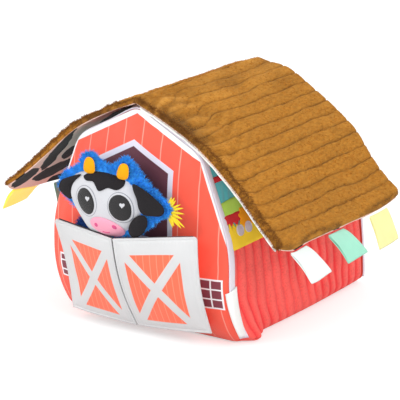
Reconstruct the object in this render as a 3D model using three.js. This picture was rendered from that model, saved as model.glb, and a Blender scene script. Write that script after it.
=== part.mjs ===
// A stuffed fabric activity barn for a baby: two door leaves, a cow behind them, and a plush roof
// whose halves lift. Lengths are in millimetres. The doors face -Y, +X is to the right, +Z is up,
// and the origin is the centre of the base, on the surface that the barn rests on.

import * as THREE from 'three';

// Fits between pieces
const seamGap = 0.4; // between two sewn pieces, or two layers
const laidGap = 0.3; // under a patch that lies on another piece
const edgeTolerance = 1e-6; // share of an outline edge within which a point still counts as on it

// Barn body
const baseLength = 228;
const baseHalfWidth = 101;
const wallHalfWidth = 103;
const wallBulgeHeight = 52;
const wallHeight = 103;
const shoulderHalfWidth = 71;
const shoulderHeight = 187;
const gableHeight = 224;
const baseCornerRadius = 12;
const wallSoftRadius = 24;
const shoulderRadius = 13;
const gableRadius = 10;
const frontLean = 27;
const frontLeanHeight = 70;
const frontCrown = 10;
const backLean = 46;
const backCrown = 7;
const backLeanPowerShare = 1.3;
const crownPowerShare = 4;
const fillingGap = 1.6; // between the filling and the panels around it
const panelThickness = 1.6;
const wallThickness = 4;
const coverThickness = 1.6;
const wallRibPitch = 13.4;
const wallRibDepth = 1.6;

// How the stuffing swells the sides beyond the outline of the faces
const wallSwell = 3.5;
const cornerSag = { reach: 14, setback: 14, length: 30, height: 50 };

// Binding around the front and back seams
const bindingWidth = 12;
const bindingThickness = 1.2;

// Activity panel on the steep slope under each roof half
const patchThickness = 1.1;
const capBand = { lowShare: 0.87, highShare: 0.97, frontShare: 0.065, backShare: 0.94 };
const thinBand = { lowShare: 0.69, highShare: 0.745, frontShare: 0.065, backShare: 0.94 };
const hill = { lowShare: 0.37, highShare: 0.46, waveShare: 0.025, frontShare: 0.065, backShare: 0.94 };
const fringe = {
  lowShare: 0.28,
  highShare: 0.35,
  frontShare: 0.065,
  backShare: 0.6,
  teeth: 14,
  toothShare: 0.04,
};
const straw = {
  lowShare: 0.03,
  highShare: 0.18,
  frontShare: 0.065,
  backShare: 0.6,
  teeth: 14,
  toothShare: 0.05,
};
const sunburst = { radius: 9, points: 9, waveShare: 0.16, placeShare: 0.2, depthShare: 0.77 };
const disc = { radius: 5.4, thickness: 2.2, placeShare: 0.12, firstShare: 0.12, spacing: 13.8 };

// White ribbon tab in the right front seam
const seamTab = { width: 18, length: 50, thickness: 1.3, topHeight: 61 };

// Doors. A reach is how far a place stands out from the front edge of the base.
const door = {
  hingeX: 80,
  edgeLap: 1.4,
  meetingGap: 1.2,
  centreBottomReach: 30,
  centreTopReach: 71,
  centreBow: 7,
  centreBottomHeight: 8,
  centreTopHeight: 105.6,
  faceThickness: 2,
  liningThickness: 0.8,
  bellyShare: 0.03,
};
const doorSides = {
  left: { sign: -1, bottomReach: 29.4, topReach: 55, bottomHeight: 9.6, topHeight: 108 },
  right: { sign: 1, bottomReach: 28, topReach: 52.5, bottomHeight: 12, topHeight: 115.5 },
};
const gussetThickness = 1.2;
const gussetFloorRise = 1.5;

// Roof
const ridgeHeight = 235;
const eaveHalfWidth = 165;
const roofFrontReach = 33; // how far the front edge stands out from the front edge of the base
const roofBackSetback = 47; // how far the back edge lies in from the back edge of the base
const roofDrop = 116;
const roofThinEdge = 25; // how far from its ends a half's eave starts to round in
const roofCornerReach = 9;
const eaveSags = { right: { drop: 8, length: 50 }, left: { drop: 16, length: 60 } };
const ridgeGap = 0.8;
const plushThickness = 5.4;
const waleCount = 14;
const waleDepth = 2.4;
const waleRoundShare = 0.6;
const filmThickness = 0.5;
const filmInset = 7;
const liningThickness = 1.1;
const roofStations = [0, 0.05, 0.15, 0.3, 0.9, 1];
const roofAcrossShares = [0, 0.23, 0.45, 0.69, 0.86, 1];
const roofFrontDropShares = {
  right: [0, 0.14, 0.305, 0.575, 0.81, 1],
  left: [0, 0.14, 0.315, 0.605, 0.8, 0.93],
};
const roofBackDropShares = [0.012, 0.078, 0.265, 0.49, 0.795, 1.01];

// Ribbon tabs at the eaves
const ribbonThickness = 1.2;
const ribbonCurl = 3;
const ribbons = {
  front: { placeShare: 0.13, width: 25, reach: 19, drop: 29, sweep: 8, twist: 5 },
  middle: { placeShare: 0.44, width: 27, reach: 19, drop: 26, sweep: 7, twist: 5 },
  rear: { placeShare: 0.83, width: 30, reach: 10, drop: 32, sweep: 8, twist: 2 },
};

// Tape along the top of the barn, which the roof halves hang from
const ridgeTapeShare = 0.85;

// Cow
const cow = {
  x: -18,
  reach: 60,
  headHalfWidth: 42,
  headBottom: 103.2,
  headTop: 165,
  frontDepth: 12,
  furDepth: 7,
  furX: 4,
  crownPowerShare: 3,
};
const cowFaceShares = [
  [-0.1, 1], [0.42, 0.93], [0.78, 0.78], [0.97, 0.56], [0.8, 0.35], [0.6, 0.14], [0.38, 0.03],
  [0, 0], [-0.38, 0.05], [-0.62, 0.22], [-0.86, 0.45], [-0.99, 0.66], [-0.82, 0.86], [-0.5, 0.97],
];
const cowFurShares = [
  [0.14, 1.12], [0.34, 1.2], [0.56, 1.3], [0.8, 1.2], [1.1, 0.98], [1.44, 0.8], [1.76, 0.62], [1.66, 0.5],
  [1.36, 0.38], [1.08, 0.22], [0.84, 0.13], [0.34, 0.05], [-0.26, 0.05], [-0.62, 0.2], [-0.96, 0.42],
  [-1.32, 0.65], [-1.16, 0.88], [-0.74, 1.06], [-0.66, 1.2], [-0.42, 1.28], [-0.16, 1.2],
];
const ear = {
  length: 26,
  width: 22,
  thickness: 4,
  clearance: 0.6,
  x: 5.5,
  rootShare: 0.73,
  rootHeightShare: 0.88,
  droopShare: 0.8,
};
const horn = { width: 14, height: 11, thickness: 5, spacing: 39, centreX: 6, baseShare: 0.98 };
const eye = { radiusX: 11.4, radiusZ: 12.3, spacing: 39.5, x: 8.2, heightShare: 0.55, thickness: 1 };
const muzzle = { radiusX: 18.5, radiusZ: 9.4, x: 11, heightShare: 0.21, thickness: 2.4 };
const foreheadPatch = { x: 3, halfWidth: 22, thickness: 1, lowShare: 0.75, highShare: 0.97 };
const foreheadShares = [
  [-1, 0.35], [-0.9, 0.82], [-0.35, 0.98], [0.3, 1], [0.85, 0.72], [1, 0.3], [0.62, 0.02], [0.2, 0.16],
  [-0.2, 0], [-0.55, 0.3],
];
const cowBody = {
  x: 5.5,
  halfWidth: 31,
  bottom: 40,
  middleShares: [0.5, 0.79],
  fullShares: [0.45, 0.24],
};
const hoof = { radiusX: 8, radiusZ: 12.4, thickness: 8 };
const rightHoof = { x: 43.5, reach: 64.4, height: 122.6, tiltShare: -0.22 };
const leftHoof = { x: -33.7, reach: 49, height: 92, tiltShare: 0 };
const tuft = { length: 22, halfWidth: 9, thickness: 2, strands: 5, x: 80.6, reach: 58, height: 138 };

// Colours
const colours = {
  facadeRed: 0xf9583f,
  plushRed: 0xf03c38,
  filling: 0xf4f1ea,
  binding: 0xe6deea,
  doorWhite: 0xeceeee,
  doorLining: 0x2f2a33,
  roofBrown: 0xad732e,
  roofLining: 0xe6cfc6,
  film: 0xd9dde0,
  satinTeal: 0x46a9b0,
  green: 0xa5d750,
  fringeRed: 0xd92f33,
  yellow: 0xf7d045,
  orange: 0xee9a1a,
  disc: 0xcfc6cf,
  white: 0xf4f8f6,
  mint: 0xa9ecd8,
  ribbonYellow: 0xfaf39c,
  ribbonGold: 0xfde06a,
  cowWhite: 0xe9edf3,
  cowBlack: 0x2f2c33,
  horn: 0xf7b21c,
  muzzle: 0xf5a3bf,
  fur: 0x2c7ddb,
  straw: 0xe8cf3a,
};

// Geometry helpers

function solidFrom(positions, triangles) {
  let volume = 0;
  const normal = new THREE.Vector3();
  for (const [a, b, c] of triangles) {
    volume += positions[a].dot(normal.crossVectors(positions[b], positions[c]));
  }
  const ordered = triangles.map(([a, b, c]) => (volume < 0 ? [a, c, b] : [a, b, c]));
  const geometry = new THREE.BufferGeometry();
  geometry.setFromPoints(positions);
  geometry.setIndex(ordered.flat());
  geometry.computeVertexNormals();
  return geometry;
}

// A closed sheet between two surfaces, each given as a function of two shares from 0 to 1.
function sheetSolid(columns, rows, outer, inner) {
  const positions = [];
  const triangles = [];
  const width = columns + 1;
  const layer = width * (rows + 1);
  const quad = (a, b, c, d) => triangles.push([a, b, c], [a, c, d]);
  for (const surface of [outer, inner]) {
    for (let row = 0; row <= rows; row += 1) {
      for (let column = 0; column <= columns; column += 1) {
        positions.push(surface(column / columns, row / rows));
      }
    }
  }
  for (let row = 0; row < rows; row += 1) {
    for (let column = 0; column < columns; column += 1) {
      const a = row * width + column;
      quad(a, a + 1, a + 1 + width, a + width);
      quad(layer + a, layer + a + width, layer + a + 1 + width, layer + a + 1);
    }
  }
  for (let column = 0; column < columns; column += 1) {
    const low = column;
    const high = rows * width + column;
    quad(low + 1, low, layer + low, layer + low + 1);
    quad(high, high + 1, layer + high + 1, layer + high);
  }
  for (let row = 0; row < rows; row += 1) {
    const start = row * width;
    const end = start + columns;
    quad(start, start + width, layer + start + width, layer + start);
    quad(end + width, end, layer + end, layer + end + width);
  }
  return solidFrom(positions, triangles);
}

// Rings about a centre, each a share of the way out to the outline, closer together near its edge.
function ringLoops(outline, centre, rings) {
  return Array.from({ length: rings }, (_, i) => {
    const share = Math.sin(((i + 1) / rings) * (Math.PI / 2));
    return { share, points: outline.map((point) => centre.clone().lerp(point, share)) };
  });
}

// A closed pad built on rings of (x, z) points. The surfaces get each point and its share of the
// way out. A sewn pad's two faces meet at the outline. Another pad can have rows around its side.
function padSolid(loops, centre, front, back, sewn = false, side = []) {
  const positions = [];
  const triangles = [];
  const rings = loops.length;
  const count = loops[0].points.length;
  const frontIndex = [];
  const backIndex = [];
  const addLayer = (index, surface) => {
    index.push([positions.push(surface(centre, 0)) - 1]);
    loops.forEach(({ share, points }, i) => {
      if (sewn && surface === back && i === rings - 1) {
        index.push(frontIndex[rings]);
      } else {
        index.push(points.map((point) => positions.push(surface(point, share)) - 1));
      }
    });
  };
  addLayer(frontIndex, front);
  addLayer(backIndex, back);
  const cover = (index, flip) => {
    for (let i = 0; i < count; i += 1) {
      const next = (i + 1) % count;
      const fan = [index[0][0], index[1][i], index[1][next]];
      triangles.push(flip ? fan.reverse() : fan);
      for (let ring = 1; ring < rings; ring += 1) {
        const [a, b] = [index[ring][i], index[ring + 1][i]];
        const [d, c] = [index[ring][next], index[ring + 1][next]];
        triangles.push(flip ? [c, b, a] : [a, b, c]);
        triangles.push(flip ? [d, c, a] : [a, c, d]);
      }
    }
  };
  cover(frontIndex, false);
  cover(backIndex, true);
  if (!sewn) {
    const rim = loops[rings - 1].points;
    const rows = side.map((surface) => rim.map((point) => positions.push(surface(point)) - 1));
    const belts = [frontIndex[rings], ...rows, backIndex[rings]];
    for (let row = 1; row < belts.length; row += 1) {
      for (let i = 0; i < count; i += 1) {
        const next = (i + 1) % count;
        const [a, b] = [belts[row - 1][i], belts[row - 1][next]];
        const [d, c] = [belts[row][i], belts[row][next]];
        triangles.push([b, a, d], [b, d, c]);
      }
    }
  }
  return solidFrom(positions, triangles);
}

// The share of the way from an outline's centre to its edge at which a point lies.
function outlineShare(outline, centre, x, z) {
  const dx = x - centre.x;
  const dz = z - centre.y;
  if (Math.hypot(dx, dz) === 0) {
    return 0;
  }
  let share = 1;
  outline.forEach((p, i) => {
    const q = outline[(i + 1) % outline.length];
    const ex = q.x - p.x;
    const ez = q.y - p.y;
    const cross = dx * ez - dz * ex;
    const along = ((p.x - centre.x) * ez - (p.y - centre.y) * ex) / cross;
    const beside = ((p.x - centre.x) * dz - (p.y - centre.y) * dx) / cross;
    if (along > 0 && beside >= -edgeTolerance && beside <= 1 + edgeTolerance) {
      share = 1 / along;
    }
  });
  return share;
}

// A closed polygon with each corner rounded, as points about one step apart.
function roundedOutline(corners, lineSteps) {
  const points = [];
  corners.forEach((corner, i) => {
    const before = corners[(i + corners.length - 1) % corners.length].at;
    const after = corners[(i + 1) % corners.length].at;
    const start = corner.at.clone().add(before.clone().sub(corner.at).setLength(corner.radius));
    const end = corner.at.clone().add(after.clone().sub(corner.at).setLength(corner.radius));
    const arc = new THREE.QuadraticBezierCurve(start, corner.at, end);
    points.push(...arc.getPoints(corner.steps));
    const next = corners[(i + 1) % corners.length];
    const nextStart = next.at.clone().add(corner.at.clone().sub(next.at).setLength(next.radius));
    for (let step = 1; step < lineSteps; step += 1) {
      points.push(end.clone().lerp(nextStart, step / lineSteps));
    }
  });
  return points;
}

// A smooth closed outline through points given as shares of a half width and a height.
function smoothOutline(shares, centreX, halfWidth, bottom, top, count) {
  const knots = shares.map(([across, up]) => (
    new THREE.Vector3(centreX + across * halfWidth, bottom + up * (top - bottom), 0)
  ));
  const curve = new THREE.CatmullRomCurve3(knots, true, 'centripetal');
  return curve.getSpacedPoints(count).slice(0, count).map((point) => new THREE.Vector2(point.x, point.y));
}

function ellipseOutline(x, z, radiusX, radiusZ, count, tilt = 0) {
  return Array.from({ length: count }, (_, i) => {
    const angle = (i / count) * Math.PI * 2;
    return new THREE.Vector2(radiusX * Math.cos(angle), radiusZ * Math.sin(angle))
      .rotateAround(new THREE.Vector2(), tilt)
      .add(new THREE.Vector2(x, z));
  });
}

function middleOf(outline) {
  return outline.reduce((sum, point) => sum.add(point), new THREE.Vector2()).divideScalar(outline.length);
}

function lerp(from, to, share) {
  return from + (to - from) * share;
}

// Body shape

const baseFrontY = -baseLength / 2;
const baseBackY = baseLength / 2;

const gableCorners = [
  { at: [baseHalfWidth, 0], radius: baseCornerRadius, steps: 3 },
  { at: [wallHalfWidth, wallBulgeHeight], radius: wallSoftRadius, steps: 3 },
  { at: [wallHalfWidth, wallHeight], radius: wallSoftRadius, steps: 2 },
  { at: [shoulderHalfWidth, shoulderHeight], radius: shoulderRadius, steps: 2 },
  { at: [0, gableHeight], radius: gableRadius, steps: 2 },
  { at: [-shoulderHalfWidth, shoulderHeight], radius: shoulderRadius, steps: 2 },
  { at: [-wallHalfWidth, wallHeight], radius: wallSoftRadius, steps: 2 },
  { at: [-wallHalfWidth, wallBulgeHeight], radius: wallSoftRadius, steps: 3 },
  { at: [-baseHalfWidth, 0], radius: baseCornerRadius, steps: 3 },
].map((corner) => ({ ...corner, at: new THREE.Vector2(...corner.at) }));
const gableOutline = roundedOutline(gableCorners, 2);
const gableCentre = new THREE.Vector2(0, gableHeight / 2);

function gableDome(x, z) {
  const share = Math.min(1, outlineShare(gableOutline, gableCentre, x, z));
  return 1 - share ** crownPowerShare;
}

function frontY(x, z) {
  const leanShare = 1 - (1 - Math.min(1, Math.max(0, z) / frontLeanHeight)) ** 2;
  return baseFrontY - frontLean * leanShare - frontCrown * gableDome(x, z);
}

function backY(x, z) {
  const leanShare = (Math.max(0, z) / gableHeight) ** backLeanPowerShare;
  return baseBackY - backLean * leanShare + backCrown * gableDome(x, z);
}

// A point inside the gable outline by a depth measured square to the edge.
function insetPoint(index, depth) {
  const count = gableOutline.length;
  const here = gableOutline[index];
  const along = gableOutline[(index + 1) % count].clone().sub(gableOutline[(index + count - 1) % count]);
  const inward = new THREE.Vector2(-along.y, along.x).normalize();
  return here.clone().addScaledVector(inward, depth);
}

// A stretch of the gable outline between two heights on one side, as a function of a share.
function edgeRun(from, to) {
  const indices = [];
  for (let index = from; index <= to; index += 1) {
    indices.push(index % gableOutline.length);
  }
  return (share, depth) => {
    const place = share * (indices.length - 1);
    const low = Math.min(Math.floor(place), indices.length - 2);
    const start = insetPoint(indices[low], depth);
    const end = insetPoint(indices[low + 1], depth);
    return start.lerp(end, place - low);
  };
}

// How far the stuffing pushes the sides out at a height and a share of the depth, straight from
// one rib to the next.
function sideSwell(z, depthShare) {
  const low = Math.max(0, 1 - z / cornerSag.height) ** 2;
  const tall = Math.max(0, 1 - (z / wallHeight) ** 3);
  const swellAt = (rib) => {
    const offset = (rib / wallRibs) * baseLength - cornerSag.setback;
    const fade = offset < 0 ? cornerSag.setback : cornerSag.length;
    const nearCorner = Math.max(0, 1 - Math.abs(offset) / fade);
    return tall * wallSwell * Math.sin((Math.PI * rib) / wallRibs) + low * nearCorner * cornerSag.reach;
  };
  const rib = depthShare * wallRibs;
  return lerp(swellAt(Math.floor(rib)), swellAt(Math.ceil(rib)), rib % 1);
}

// A point between the two faces, from its place on the outline and a share of the depth.
function sidePoint(x, z, depthShare) {
  const front = frontY(x, z) + panelThickness + seamGap;
  const back = backY(x, z) - panelThickness - seamGap;
  const swell = sideSwell(z, Math.min(1, Math.max(0, depthShare)));
  return new THREE.Vector3(x * (1 + swell / baseHalfWidth), lerp(front, back, depthShare), z);
}

// The same point, from its distance along Y.
function throughDepth(x, z, y) {
  const front = frontY(x, z) + panelThickness + seamGap;
  const back = backY(x, z) - panelThickness - seamGap;
  return sidePoint(x, z, (y - front) / (back - front));
}

function wallPoint(run, share, depthShare, inset) {
  const { x, y: z } = run(share, inset);
  return sidePoint(x, z, depthShare);
}

function nearestIndex(x, z) {
  const target = new THREE.Vector2(x, z);
  const distances = gableOutline.map((point) => point.distanceTo(target));
  return distances.indexOf(Math.min(...distances));
}

const lastIndex = gableOutline.length;
const seams = {
  rightBase: nearestIndex(baseHalfWidth - baseCornerRadius / 2, 0),
  rightWall: nearestIndex(wallHalfWidth, wallHeight),
  rightShoulder: nearestIndex(shoulderHalfWidth, shoulderHeight),
  gable: nearestIndex(0, gableHeight),
  leftShoulder: nearestIndex(-shoulderHalfWidth, shoulderHeight),
  leftWall: nearestIndex(-wallHalfWidth, wallHeight),
  leftBase: nearestIndex(-baseHalfWidth + baseCornerRadius / 2, 0),
  rightBindingEnd: nearestIndex(baseHalfWidth, baseCornerRadius),
  leftBindingEnd: nearestIndex(-baseHalfWidth, baseCornerRadius),
};

const seamShare = seamGap / wallHeight;
const wallRibs = Math.round(baseLength / wallRibPitch);
const panelRings = 6;

function stripSolid(from, to, thickness, columns, rib = 0) {
  const run = edgeRun(from, to);
  const rows = to - from;
  const trim = (share) => lerp(seamShare, 1 - seamShare, share);
  const outer = (along, up) => {
    const groove = rib * (1 - Math.abs(Math.sin(Math.PI * wallRibs * along)));
    return wallPoint(run, trim(up), along, groove);
  };
  const inner = (along, up) => wallPoint(run, trim(up), along, thickness);
  return sheetSolid(columns, rows, outer, inner);
}

function bodyFilling() {
  const rim = gableOutline.map((_, index) => insetPoint(index, wallThickness + fillingGap));
  const loops = ringLoops(gableOutline, gableCentre, panelRings).slice(0, -2);
  loops.push({ share: 1, points: rim });
  const inset = panelThickness + fillingGap;
  const front = ({ x, y: z }) => new THREE.Vector3(x, frontY(x, z) + inset, z);
  const back = ({ x, y: z }) => new THREE.Vector3(x, backY(x, z) - inset, z);
  const side = Array.from({ length: wallRibs - 1 }, (_, rib) => (
    ({ x, y: z }) => sidePoint(x, z, (rib + 1) / wallRibs)
  ));
  return padSolid(loops, gableCentre, front, back, false, side);
}

function facePanel(surfaceY, sign) {
  const front = ({ x, y: z }) => new THREE.Vector3(x, surfaceY(x, z), z);
  const back = ({ x, y: z }) => new THREE.Vector3(x, surfaceY(x, z) - sign * panelThickness, z);
  return padSolid(ringLoops(gableOutline, gableCentre, panelRings), gableCentre, front, back);
}

// Binding laid over the side pieces along a face's seam, from one base corner over the gable.
function faceBinding(atFront) {
  const run = edgeRun(seams.rightBindingEnd, seams.leftBindingEnd);
  const rows = seams.leftBindingEnd - seams.rightBindingEnd;
  const point = (across, along, inset) => {
    const { x, y: z } = run(along, inset);
    const edge = atFront ? frontY(x, z) : backY(x, z);
    const inward = atFront ? bindingWidth : -bindingWidth;
    return throughDepth(x, z, edge + inward * across);
  };
  const outer = (across, along) => point(across, along, -laidGap - bindingThickness);
  const inner = (across, along) => point(across, along, -laidGap);
  return sheetSolid(2, rows, outer, inner);
}

// A patch on the steep slope of the right side. Its edges are functions of the depth share.
const rightSlope = edgeRun(seams.rightWall, seams.rightShoulder);

function slopePatch(shape, highEdge, lowEdge, columns) {
  const rows = 3;
  const place = (along, up, inset) => {
    const depthShare = lerp(shape.frontShare, shape.backShare, along);
    return wallPoint(rightSlope, lerp(lowEdge(along), highEdge(along), up), depthShare, inset);
  };
  const outer = (along, up) => place(along, up, -laidGap - patchThickness);
  const inner = (along, up) => place(along, up, -laidGap);
  return sheetSolid(columns, rows, outer, inner);
}

function zigzag(teeth, along) {
  return Math.abs(((along * teeth) % 1) * 2 - 1);
}

function slopeFrame(heightShare, depthShare, lift) {
  const origin = wallPoint(rightSlope, heightShare, depthShare, -lift);
  const step = 0.01;
  const up = wallPoint(rightSlope, heightShare + step, depthShare, -lift).sub(origin).normalize();
  const along = wallPoint(rightSlope, heightShare, depthShare + step, -lift).sub(origin).normalize();
  const out = new THREE.Vector3().crossVectors(along, up).normalize();
  return { origin, frame: new THREE.Matrix4().makeBasis(up, out, new THREE.Vector3().crossVectors(up, out)) };
}

// Doors

function doorPoint(side, across, up, depth) {
  const outerX = side.sign * (door.hingeX + door.edgeLap);
  const innerX = side.sign * (door.meetingGap / 2);
  const bow = door.centreBow * Math.sin(Math.PI * up);
  const centreReach = lerp(door.centreBottomReach, door.centreTopReach, up) + bow;
  const outerEdge = new THREE.Vector3(
    outerX,
    baseFrontY - lerp(side.bottomReach, side.topReach, up),
    lerp(side.bottomHeight, side.topHeight, up),
  );
  const centreEdge = new THREE.Vector3(
    innerX,
    baseFrontY - centreReach,
    lerp(door.centreBottomHeight, door.centreTopHeight, up),
  );
  const point = outerEdge.lerp(centreEdge, across);
  point.y += depth - door.bellyShare * door.hingeX * Math.sin(Math.PI * across) * (1 - up * up);
  return point;
}

function doorLayer(side, depth, thickness, inset) {
  const surface = (layerDepth) => (across, up) => {
    const insetAcross = inset / door.hingeX;
    const insetUp = inset / door.centreTopHeight;
    return doorPoint(
      side,
      lerp(insetAcross, 1 - insetAcross, across),
      lerp(insetUp, 1 - insetUp, up),
      layerDepth,
    );
  };
  return sheetSolid(6, 7, surface(depth), surface(depth + thickness));
}

const doorDepth = door.faceThickness + laidGap + door.liningThickness;

// The side gusset stands between the front panel and the back of a leaf's outer edge.
function sideGusset(side) {
  const x = side.sign * door.hingeX;
  const surface = (offset) => (out, up) => {
    const edge = doorPoint(side, 0, up, doorDepth + seamGap);
    const panel = frontY(x, edge.z) - seamGap * 2;
    return new THREE.Vector3(x + offset, lerp(panel, edge.y, out), edge.z);
  };
  return sheetSolid(2, 8, surface(-gussetThickness / 2), surface(gussetThickness / 2));
}

// The pocket floor joins the front panel to the leaves' lower edges.
function pocketFloor() {
  const halfWidth = door.hingeX - gussetThickness / 2 - seamGap;
  const surface = (rise) => (across, out) => {
    const x = lerp(-halfWidth, halfWidth, across);
    const side = x < 0 ? doorSides.left : doorSides.right;
    const edge = doorPoint(side, 1 - Math.abs(x) / door.hingeX, 0, doorDepth + seamGap);
    const z = edge.z + rise;
    return new THREE.Vector3(x, lerp(frontY(x, z) - laidGap, edge.y, out), z);
  };
  return sheetSolid(14, 2, surface(gussetFloorRise + gussetThickness), surface(gussetFloorRise));
}

// The place along Y of a share of the way from the front panel to the leaf in front of it.
function pocketY(x, z, share) {
  const side = x < 0 ? doorSides.left : doorSides.right;
  const across = 1 - Math.abs(x) / door.hingeX;
  const low = lerp(side.bottomHeight, door.centreBottomHeight, across);
  const high = lerp(side.topHeight, door.centreTopHeight, across);
  const leaf = doorPoint(side, across, (z - low) / (high - low), doorDepth + seamGap);
  return lerp(frontY(x, z) - seamGap, leaf.y, share);
}

// Roof

const roofFrontY = baseFrontY - roofFrontReach;
const roofBackY = baseBackY - roofBackSetback;

function roofCurve(dropShares) {
  const knots = roofAcrossShares.map((across, i) => (
    new THREE.Vector3(across * eaveHalfWidth, 0, ridgeHeight - dropShares[i] * roofDrop)
  ));
  return new THREE.CatmullRomCurve3(knots, false, 'centripetal');
}

const roofFrontCurves = {
  right: roofCurve(roofFrontDropShares.right),
  left: roofCurve(roofFrontDropShares.left),
};
const roofBackCurve = roofCurve(roofBackDropShares);

// A point of one roof half: the shares run from ridge to eave and from front to back. Depth is
// measured down from the top of the wales, square to the roof. The eave's front end rounds in,
// and it sags behind that end.
function roofPoint(sign, outShare, alongShare, depth) {
  const side = sign > 0 ? 'right' : 'left';
  const frontCurve = roofFrontCurves[side];
  const fromFront = alongShare * (roofBackY - roofFrontY);
  const rounding = roofCornerReach * Math.max(0, 1 - fromFront / roofThinEdge) ** 2;
  const out = outShare * (1 - rounding / eaveHalfWidth);
  const front = frontCurve.getPointAt(out);
  const back = roofBackCurve.getPointAt(out);
  const tangent = frontCurve.getTangentAt(out).lerp(roofBackCurve.getTangentAt(out), alongShare);
  const point = front.lerp(back, alongShare);
  const steepness = Math.hypot(1, tangent.z / tangent.x);
  const sagShare = 1 - Math.max(0, 1 - fromFront / eaveSags[side].length) ** 2;
  const sag = eaveSags[side].drop * out ** 5 * sagShare;
  return new THREE.Vector3(
    sign * (point.x + ridgeGap / 2),
    lerp(roofFrontY, roofBackY, alongShare),
    point.z - sag - depth * steepness,
  );
}

// A share of the roof's length as it is spaced by its stations.
function stationShare(share) {
  const place = share * (roofStations.length - 1);
  const low = Math.min(Math.floor(place), roofStations.length - 2);
  return lerp(roofStations[low], roofStations[low + 1], place - low);
}

function waleGroove(outShare) {
  return waleDepth * (1 - Math.abs(Math.sin(Math.PI * waleCount * outShare)) ** waleRoundShare);
}

function roofPlush(sign) {
  const outer = (out, along) => roofPoint(sign, out, stationShare(along), waleGroove(out));
  const inner = (out, along) => roofPoint(sign, out, stationShare(along), plushThickness);
  return sheetSolid(waleCount * 4, roofStations.length - 1, outer, inner);
}

function roofLayer(sign, depth, thickness, inset) {
  const outInset = inset / eaveHalfWidth;
  const alongInset = inset / (roofBackY - roofFrontY);
  const surface = (layerDepth) => (out, along) => roofPoint(
    sign,
    lerp(outInset, 1 - outInset, out),
    lerp(alongInset, 1 - alongInset, stationShare(along)),
    layerDepth,
  );
  return sheetSolid(waleCount * 2, roofStations.length - 1, surface(depth), surface(depth + thickness));
}

const filmDepth = plushThickness + seamGap;
const liningDepth = filmDepth + filmThickness + seamGap;

const roofUnderside = liningDepth + liningThickness;

// The rear edge of a ribbon stands further out and up than its front edge.
function eaveRibbon(sign, ribbon) {
  const eave = roofPoint(sign, 1, ribbon.placeShare, roofUnderside - ribbonThickness);
  const surface = (depth) => (across, down) => new THREE.Vector3(
    eave.x + sign * (seamGap + (ribbon.reach + ribbon.twist * across) * down),
    eave.y + ribbon.width * (across - 1 / 2) + ribbon.sweep * down,
    eave.z + (ribbon.twist * across - ribbon.drop) * down + ribbonCurl * Math.sin(Math.PI * down) - depth,
  );
  return sheetSolid(2, 6, surface(0), surface(ribbonThickness));
}

// The tape fills the space between the top of the barn and the roof along the ridge.
function ridgeTape() {
  const apex = gableOutline[seams.gable];
  const beside = apex.clone().lerp(gableOutline[seams.gable - 1], ridgeTapeShare);
  const outShare = beside.x / roofFrontCurves.right.getLength();
  const yAt = (along) => lerp(
    frontY(0, apex.y) + bindingWidth + seamGap,
    backY(0, apex.y) - bindingWidth - seamGap,
    along,
  );
  const top = (across, along) => {
    const side = across * 2 - 1;
    const y = yAt(along);
    const alongShare = (y - roofFrontY) / (roofBackY - roofFrontY);
    const under = roofPoint(1, Math.abs(side) * outShare, alongShare, roofUnderside + laidGap);
    return new THREE.Vector3(side * beside.x, y, under.z);
  };
  const bottom = (across, along) => {
    const side = across * 2 - 1;
    return new THREE.Vector3(side * beside.x, yAt(along), lerp(apex.y, beside.y, Math.abs(side)) + laidGap);
  };
  return sheetSolid(2, 3, top, bottom);
}

// Cow

const cowMiddleY = baseFrontY - cow.reach;

const cowOutline = smoothOutline(
  cowFaceShares, cow.x, cow.headHalfWidth, cow.headBottom, cow.headTop, 32,
);
const cowCentre = new THREE.Vector2(cow.x, lerp(cow.headBottom, cow.headTop, 1 / 2));

function cowFaceY(x, z) {
  const share = Math.min(1, outlineShare(cowOutline, cowCentre, x, z));
  return cowMiddleY - cow.frontDepth * (1 - share ** cow.crownPowerShare);
}

function cowHead() {
  const front = ({ x, y: z }) => new THREE.Vector3(x, cowFaceY(x, z), z);
  const back = ({ x, y: z }) => new THREE.Vector3(x, cowMiddleY, z);
  return padSolid(ringLoops(cowOutline, cowCentre, 6), cowCentre, front, back, true);
}

function cowFur() {
  const outline = smoothOutline(
    cowFurShares, cow.x + cow.furX, cow.headHalfWidth, cow.headBottom, cow.headTop, 36,
  );
  const flat = cowMiddleY + laidGap;
  const front = ({ x, y: z }) => new THREE.Vector3(x, flat, z);
  const back = ({ x, y: z }, share) => new THREE.Vector3(
    x,
    flat + cow.furDepth * (1 - share ** cow.crownPowerShare),
    z,
  );
  return padSolid(ringLoops(outline, cowCentre, 3), cowCentre, front, back, true);
}

// A flat patch that follows the face.
function facePatch(outline, thickness, rings) {
  const centre = middleOf(outline);
  const front = ({ x, y: z }, share) => new THREE.Vector3(
    x,
    cowFaceY(x, z) - seamGap * 2 - thickness * lerp(1, 1 / 2, share),
    z,
  );
  const back = ({ x, y: z }) => new THREE.Vector3(x, cowFaceY(x, z) - seamGap * 2, z);
  return padSolid(ringLoops(outline, centre, rings), centre, front, back);
}

function cowEye(sign) {
  const z = lerp(cow.headBottom, cow.headTop, eye.heightShare);
  const x = cow.x + eye.x + (sign * eye.spacing) / 2;
  return facePatch(ellipseOutline(x, z, eye.radiusX, eye.radiusZ, 16), eye.thickness, 3);
}

function cowMuzzle() {
  const z = lerp(cow.headBottom, cow.headTop, muzzle.heightShare);
  const outline = ellipseOutline(cow.x + muzzle.x, z, muzzle.radiusX, muzzle.radiusZ, 16);
  return facePatch(outline, muzzle.thickness, 3);
}

function cowForehead() {
  const low = lerp(cow.headBottom, cow.headTop, foreheadPatch.lowShare);
  const high = lerp(cow.headBottom, cow.headTop, foreheadPatch.highShare);
  const middle = cow.x + foreheadPatch.x;
  const outline = smoothOutline(foreheadShares, middle, foreheadPatch.halfWidth, low, high, 22);
  return facePatch(outline, foreheadPatch.thickness, 3);
}

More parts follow.
